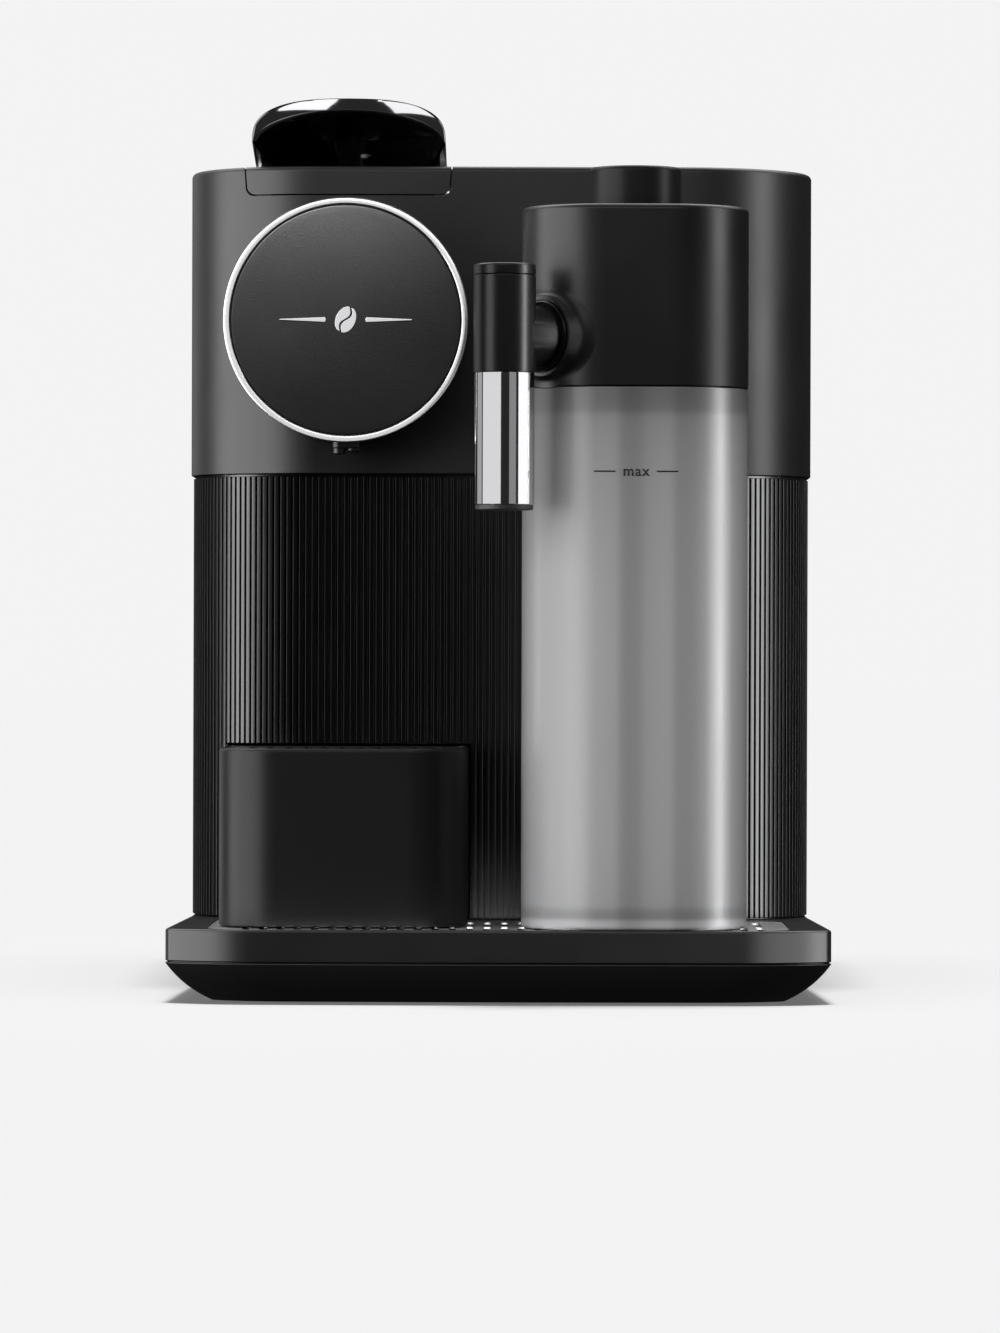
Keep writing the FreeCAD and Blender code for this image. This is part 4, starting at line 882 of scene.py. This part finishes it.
# ---- Lid, knob and spout ----
ARM_Z = 201.2
CORNER_X, CORNER_DEPTH = JAR_X - JAR_HALF + JAR_CORNER, JAR_FRONT + JAR_CORNER
ARM_TURN = math.radians(45)
ARM_AXIS = (-math.sin(ARM_TURN), -math.cos(ARM_TURN), 0)
BOSS_END = 27.6
SPOUT_REACH = (CORNER_X - 1.42) / math.sin(ARM_TURN)


def arm_point(reach, side=0.0, up=0.0):
    """A point out along the spout arm from the centre of the lid's front left corner."""
    s, c = math.sin(ARM_TURN), math.cos(ARM_TURN)
    return (CORNER_X - reach * s + side * c, at(CORNER_DEPTH - reach * c - side * s), ARM_Z + up)


def boss():
    """Short cone round the arm that flows out of the lid's rounded corner."""
    lid_radius = JAR_CORNER + 0.2

    def cone_radius(reach):
        return 15.0 - 2.9 * (reach - 16) / (BOSS_END - 16)

    columns = []
    for i in range(96):
        turn = 2 * math.pi * i / 96
        c, s = math.cos(turn), math.sin(turn)
        reach, radius = 24.0, 14.0
        for _ in range(4):
            reach = math.sqrt(lid_radius ** 2 - (radius * c) ** 2)
            radius = cone_radius(reach)
        room = min(2.6, (BOSS_END - reach) * 0.72)
        start = radius + room * 0.9 + 1.2
        base = math.sqrt(lid_radius ** 2 - (start * c) ** 2) - 0.03
        end = (cone_radius(reach + room), reach + room)
        profile = [(start + 1.0, math.sqrt(lid_radius ** 2 - ((start + 1.0) * c) ** 2) - 1.0)]
        for k in range(9):
            t = k / 8
            r = (1 - t) ** 2 * start + 2 * t * (1 - t) * radius + t * t * end[0]
            d = (1 - t) ** 2 * base + 2 * t * (1 - t) * reach + t * t * end[1]
            profile.append((r, d))
        profile += [(cone_radius(BOSS_END) + 0.02, BOSS_END - 0.35),
                    (cone_radius(BOSS_END) - 0.1, BOSS_END - 0.08),
                    (cone_radius(BOSS_END) - 0.4, BOSS_END), (11.2, BOSS_END), (10.95, BOSS_END - 0.15),
                    (10.9, BOSS_END - 1.6), (9.2, BOSS_END - 1.6), (9.2, 14.0)]
        columns.append([arm_point(d, r * c, r * s) for r, d in profile])
    rows = [[column[k] for column in columns] for k in range(len(columns[0]))]
    return sweep_rows("boss", rows, close_rows=True, close_columns=True, sharp=36)


def build_lid():
    low = JAR_TOP + 0.3
    profile = [(0.35, low), (0.07, low + 0.1), (0.0, low + 0.35)]
    profile += quarter((0.0, LID_TOP - 1.6), (1.6, LID_TOP), steps=7)
    profile = [(inset - 0.2, z) for inset, z in profile]
    lid = loft("milk_lid_shell", jar_outline(32), profile)
    bore = lathe("cut", arm_point(12), ARM_AXIS, [(9.2, 0), (9.2, 20)])
    hole = drill(JAR_X, 31, 235, 5.1, 10)
    port = drill(JAR_X, 67.5, 205, 7.0, 8, (0, 1, 0))
    lid = carve(lid, [bore, hole, port])
    lid = carve(lid, [boss()], how="UNION")
    collar = loft("collar", jar_outline(), [(2.3, 176.4), (1.95, 176.7), (1.95, low + 1.0)])
    collar = carve(collar, [loft("cut", jar_outline(), [(5.8, 170.0), (5.8, low - 0.5)])])
    dress(join(lid, collar), "milk_lid", "matt_black", "lid_black", "milk_lid")
    for node, name in (("lid_seal", "seal_ring"), ("steam_connector", "steam_tube")):
        dress(soften(node, name, 0.25, 2), "milk_lid", "rubber_black", "rubber", node)

    knob = lathe("knob", (JAR_X, at(31), 0), (0, 0, 1),
                 [(5.0, 229.5), (5.0, 241.3), (13.3, 241.3), (13.8, 241.45), (14.0, 241.9),
                  *quarter((14.0, 252.2), (12.6, 253.6), steps=6), (8.0, 253.6)], 128)
    slot = pocket((JAR_X - 0.6, JAR_X + 0.6), (18.5, 26), 0.6, 0.6, [(0, 253.1), (0, 254.5)])
    dress(bevel(carve(knob, [slot]), 0.15, 2, 50), "froth_knob", "matt_black", "knob_black", "froth_knob")


def build_spout():
    x, depth = arm_point(SPOUT_REACH)[0], CORNER_DEPTH - SPOUT_REACH * math.cos(ARM_TURN)
    axis = (x, at(depth), 0)
    up = (0, 0, 1)
    tube = lathe("spout_tube", axis, up, [(8.9, 189.8), (9.25, 189.9), (9.35, 190.2), (9.35, 218.6),
                                          (9.25, 218.85), (9.0, 218.9), (8.7, 219.05)], 128)
    arm = lathe("arm", arm_point(0), ARM_AXIS,
                [(9.0, 12.2), (9.0, 26.3), (10.5, 26.3), (10.65, 26.45), (10.65, 27.75), (10.45, 27.95),
                 (10.1, 28.0), (9.9, 27.9), (9.7, 27.6), (9.0, 27.5), (9.0, SPOUT_REACH)], 128)
    tube = carve(tube, [arm], how="UNION")
    dress(tube, "milk_spout", "matt_black", "spout_black", "spout_body")
    cap = lathe("spout_top", axis, up,
                [(8.8, 219.05), (9.0, 219.1), (9.28, 219.15), (9.35, 219.4),
                 *quarter((9.35, 221.5), (8.55, 222.3)), (6.0, 222.3)], 128)
    dress(cap, "milk_spout", "matt_black", "spout_black", "spout_cap")
    sleeve = [(7.6, 150.2), (8.85, 150.2), (9.0, 150.35), (9.0, 189.45), (8.85, 189.7), (7.6, 189.7)]
    dress(ring("spout_chrome", axis, up, sleeve), "milk_spout", "chrome_trim", "chrome", "spout_sleeve")
    tip = [(2.5, 148.6), (8.2, 148.6), (8.6, 148.75), (8.7, 149.1), (8.7, 150.1), (7.5, 150.1),
           (7.5, 189.6), (2.5, 189.6)]
    dress(ring("spout_end", axis, up, tip, 96), "milk_spout", "matt_black", "inner_black", "spout_tip")


# ---- Back of the machine ----
TANK_HALF, TANK_FRONT, TANK_LOW, TANK_TOP = 96.6, 307.2, 60.3, 246.0


def build_rear():
    tank_plan = rounded((-TANK_HALF, TANK_HALF), (TANK_FRONT, DEEP - 0.2), 4, REAR_CORNER, 16)
    wall, floor = 2.2, 3.0
    profile = quarter((1.2, TANK_LOW), (0.0, TANK_LOW + 1.2), upright_first=False)
    profile += [(0.0, TANK_TOP - 0.4), (0.4, TANK_TOP), (wall - 0.4, TANK_TOP), (wall, TANK_TOP - 0.4)]
    profile += list(reversed(quarter((wall + 1.4, TANK_LOW + floor), (wall, TANK_LOW + floor + 1.4),
                                     upright_first=False)))
    tank = loft("tank", tank_plan, profile, 40)
    neck = ring("neck", (0, at(331), 0), (0, 0, 1),
                [(4.1, 52.2), (5.8, 52.2), (6.1, 52.5), (6.1, 70.0), (4.1, 70.0)], 64)
    dress(join(tank, neck), "water_tank", "smoke_clear", "smoked", "water_tank")
    for node, name, body, slot, material in (
            ("rear_plinth", "plinth", "machine", "matt_black", "matt_black"),
            ("hinge_bridge", "bridge", "water_tank", "matt_black", "matt_black"),
            ("tank_lid", "tank_cover", "tank_lid", "matt_black", "matt_black"),
            ("rear_panel", "back_wall", "machine", "inner_black", "inner_black"),
            ("power_gland", "gland", "machine", "rubber_black", "rubber"),
            ("steam_socket", "steam_port", "machine", "rubber_black", "rubber")):
        dress(soften(node, name, 0.35, 2), body, slot, material, node)


build_base()
build_ribs()
build_head()
build_panel()
build_drum()
build_lever()
build_drawer()
build_jar()
build_lid()
build_spout()
build_rear()


# ---- Stage, light and camera ----
DIM = 0.022                  # brightness of the surroundings in reflections
PALE = 0.896                 # linear value of the pale background
FLOOR_SUNS = ((12, 0.56), (50, 0.18))   # width in degrees and share of the floor's brightness
FLOOR_ALBEDO = 0.8
FLOOR_EXCESS = 0.003         # what the floor gets besides


def stage():
    """Pale floor and pale surroundings for the camera, dim surroundings for everything else."""
    size = 30.0
    mesh = bpy.data.meshes.new("floor")
    mesh.from_pydata([(-size, -size, 0), (size, -size, 0), (size, size, 0), (-size, size, 0)], [],
                     [(0, 1, 2, 3)])
    floor = put("floor", mesh)
    material = bpy.data.materials.new("floor")
    material.use_nodes = True
    shader = material.node_tree.nodes["Principled BSDF"]
    shader.inputs["Base Color"].default_value = (FLOOR_ALBEDO, FLOOR_ALBEDO, FLOOR_ALBEDO, 1)
    shader.inputs["Roughness"].default_value = 1.0
    shader.inputs["Specular IOR Level"].default_value = 0.0
    shader.inputs["Emission Color"].default_value = (1, 1, 1, 1)
    reflected = sum(share for _, share in FLOOR_SUNS) + FLOOR_ALBEDO * DIM + FLOOR_EXCESS
    shader.inputs["Emission Strength"].default_value = PALE - reflected
    mesh.materials.append(material)
    floor.visible_glossy = False
    floor.visible_diffuse = False
    floor.visible_transmission = False

    world = bpy.data.worlds.new("studio")
    bpy.context.scene.world = world
    world.use_nodes = True
    tree = world.node_tree
    path = add(tree, "LightPath")
    mix = add(tree, "Mix", {"Factor": path.outputs["Is Camera Ray"], "A": (DIM, DIM, DIM, 1),
                            "B": (PALE, PALE, PALE, 1)}, data_type="RGBA")
    tree.links.new(mix.outputs["Result"], tree.nodes["Background"].inputs["Color"])


def receivers(label, names, state):
    """Collection that limits a light to some objects, or keeps it off them."""
    group = bpy.data.collections.new(label)
    for name in names:
        group.objects.link(bpy.data.objects[name])
    for member in group.collection_objects:
        member.light_linking.link_state = state
    return group


def panel(name, turn, rise, distance, size, radiance, group, target=(0, 0, 0.14)):
    """Soft box at an angle to the right of the front and above level, by its radiance."""
    data = bpy.data.lights.new(name, "AREA")
    data.shape = "RECTANGLE"
    data.size, data.size_y = size
    data.energy = radiance * math.pi * size[0] * size[1]
    light = put(name, data)
    turn, rise = math.radians(turn), math.radians(rise)
    away = Vector((math.sin(turn) * math.cos(rise), -math.cos(turn) * math.cos(rise), math.sin(rise)))
    light.location = Vector(target) + away * distance
    light.rotation_euler = (-away).to_track_quat("-Z", "Y").to_euler()
    light.visible_camera = False
    light.visible_transmission = False
    light.light_linking.receiver_collection = group


def only(*names):
    """Receivers of a light that falls on the named objects alone."""
    return receivers("only_" + names[0], names, "INCLUDE")


def all_but(*names):
    """Receivers of a light that passes the floor and the named objects by."""
    return receivers("all_but_" + names[-1], ("floor", *names), "EXCLUDE")


def lights():
    """Soft boxes round the machine, each for the surfaces that need it, and an even light on the floor."""
    chrome_parts = ("lever_skin", "spout_chrome")
    black_spout = ("spout_tube", "spout_top")
    plastics = all_but(*chrome_parts)
    smooth_parts = all_but(*chrome_parts, "ribbed_wall")
    only_black_spout = only(*black_spout)
    only_spout = only("spout_chrome")
    only_lever = only("lever_skin")
    only_jar = only("milk_jar")
    only_ribs = only("ribbed_wall")
    only_floor = only("floor")
    panel("left_box", -66, 3, 1.25, (1.75, 1.5), 4.6,
          all_but(*chrome_parts, "ribbed_wall", "milk_jar", *black_spout))
    panel("left_box_ribs", -74, 3, 1.25, (0.62, 1.5), 8.5, only_ribs)
    panel("left_box_jar", -78, 3, 1.25, (1.6, 1.5), 2.2, only_jar)
    panel("right_box", 72, 3, 1.25, (0.36, 1.5), 7.2, smooth_parts)
    panel("front_top", -2, 26, 0.75, (0.7, 0.16), 2.6,
          all_but(*chrome_parts, "ribbed_wall", "lever_inside", "drum_face"), (0, -0.09, 0.17))
    panel("overhead", 0, 90, 1.5, (1.2, 1.2), 1.2, smooth_parts)
    panel("rear_box", 180, 62, 1.4, (1.6, 0.9), 3.4, smooth_parts)
    panel("rear_left", -142, 10, 1.6, (0.9, 1.3), 0.55, smooth_parts)
    panel("high_left", -112, 50, 1.4, (1.0, 0.8), 2.2, plastics)
    panel("high_right", 112, 50, 1.4, (1.0, 0.8), 2.2, plastics)
    panel("spout_left", -50, 3, 1.2, (0.55, 1.2), 3.2, only_black_spout)
    panel("spout_left_rear", -108, 3, 1.2, (0.6, 1.2), 1.0, only_black_spout)
    panel("spout_right", 71, 3, 1.2, (0.24, 1.2), 8.0, only_black_spout)
    panel("card_left_rear", -104, 0, 1.2, (0.66, 1.6), 0.40, only_spout)
    panel("card_left", -48, 8, 1.2, (1.75, 1.6), 0.80, only_spout)
    panel("card_right", 28, 8, 1.2, (0.5, 1.6), 0.26, only_spout)
    panel("card_right_rear", 72, 0, 1.2, (1.0, 1.6), 1.2, only_spout)
    panel("lever_left", -30, 50, 1.2, (0.5, 0.7), 1.2, only_lever)
    panel("lever_right", 36, 50, 1.2, (0.55, 0.8), 1.1, only_lever)
    panel("lever_low_left", -86, 26, 1.2, (0.7, 0.8), 0.42, only_lever)
    panel("lever_glow", 10, -24, 1.0, (1.0, 0.3), 0.35, only("lever_inside"))
    panel("lever_side", 84, 10, 1.2, (0.5, 1.2), 0.5, only_lever)
    panel("card_ring", 0, 6, 1.0, (1.3, 1.3), 0.78, only("trim_ring", "emblem"))
    panel("card_disc", -12, 27, 0.34, (0.20, 0.06), 25.0, only("drum_face"), (-0.055, -0.10, 0.215))
    panel("card_jar", -32, 4, 1.0, (0.5, 1.2), 3.6, only_jar)
    panel("card_jar_right", 77, 2, 1.2, (0.22, 1.4), 10.0, only_jar)
    panel("card_band", 44, 0, 1.2, (1.1, 1.0), 3.0, only("tray", "rear_band"))
    panel("card_grid", 0, 14, 1.0, (1.6, 0.8), 9.0, only("grid_plate"))
    panel("card_ribs", 70, 2, 1.2, (0.42, 1.2), 13.5, only_ribs)

    for width, share in FLOOR_SUNS:
        sun = bpy.data.lights.new("floor_sun", "SUN")
        sun.energy = share * math.pi / FLOOR_ALBEDO
        sun.angle = math.radians(width)
        put("floor_sun", sun).light_linking.receiver_collection = only_floor


CAMERA_BACK = 2100.0         # from the base's front edge
CAMERA_X = 7.2
CAMERA_Z = 101.8
SENSOR, LENS = 36.0, 189.1   # the sensor's long side and the focal length
SHIFT = -0.01725             # sideways shift of the lens, as a part of the sensor's long side
ROLL = 0.17                  # degrees


def camera():
    """Long lens far in front of the machine, level and almost square to it."""
    data = bpy.data.cameras.new("camera")
    data.sensor_width = SENSOR
    data.lens = LENS
    data.shift_x = SHIFT
    data.clip_start, data.clip_end = 0.05, 100
    cam = put("camera", data)
    cam.location = Vector((CAMERA_X, at(-CAMERA_BACK), CAMERA_Z)) * MM
    cam.rotation_euler = (math.radians(90), math.radians(-ROLL), 0)
    bpy.context.scene.camera = cam


bpy.context.scene.view_settings.view_transform = "Standard"
stage()
lights()
camera()
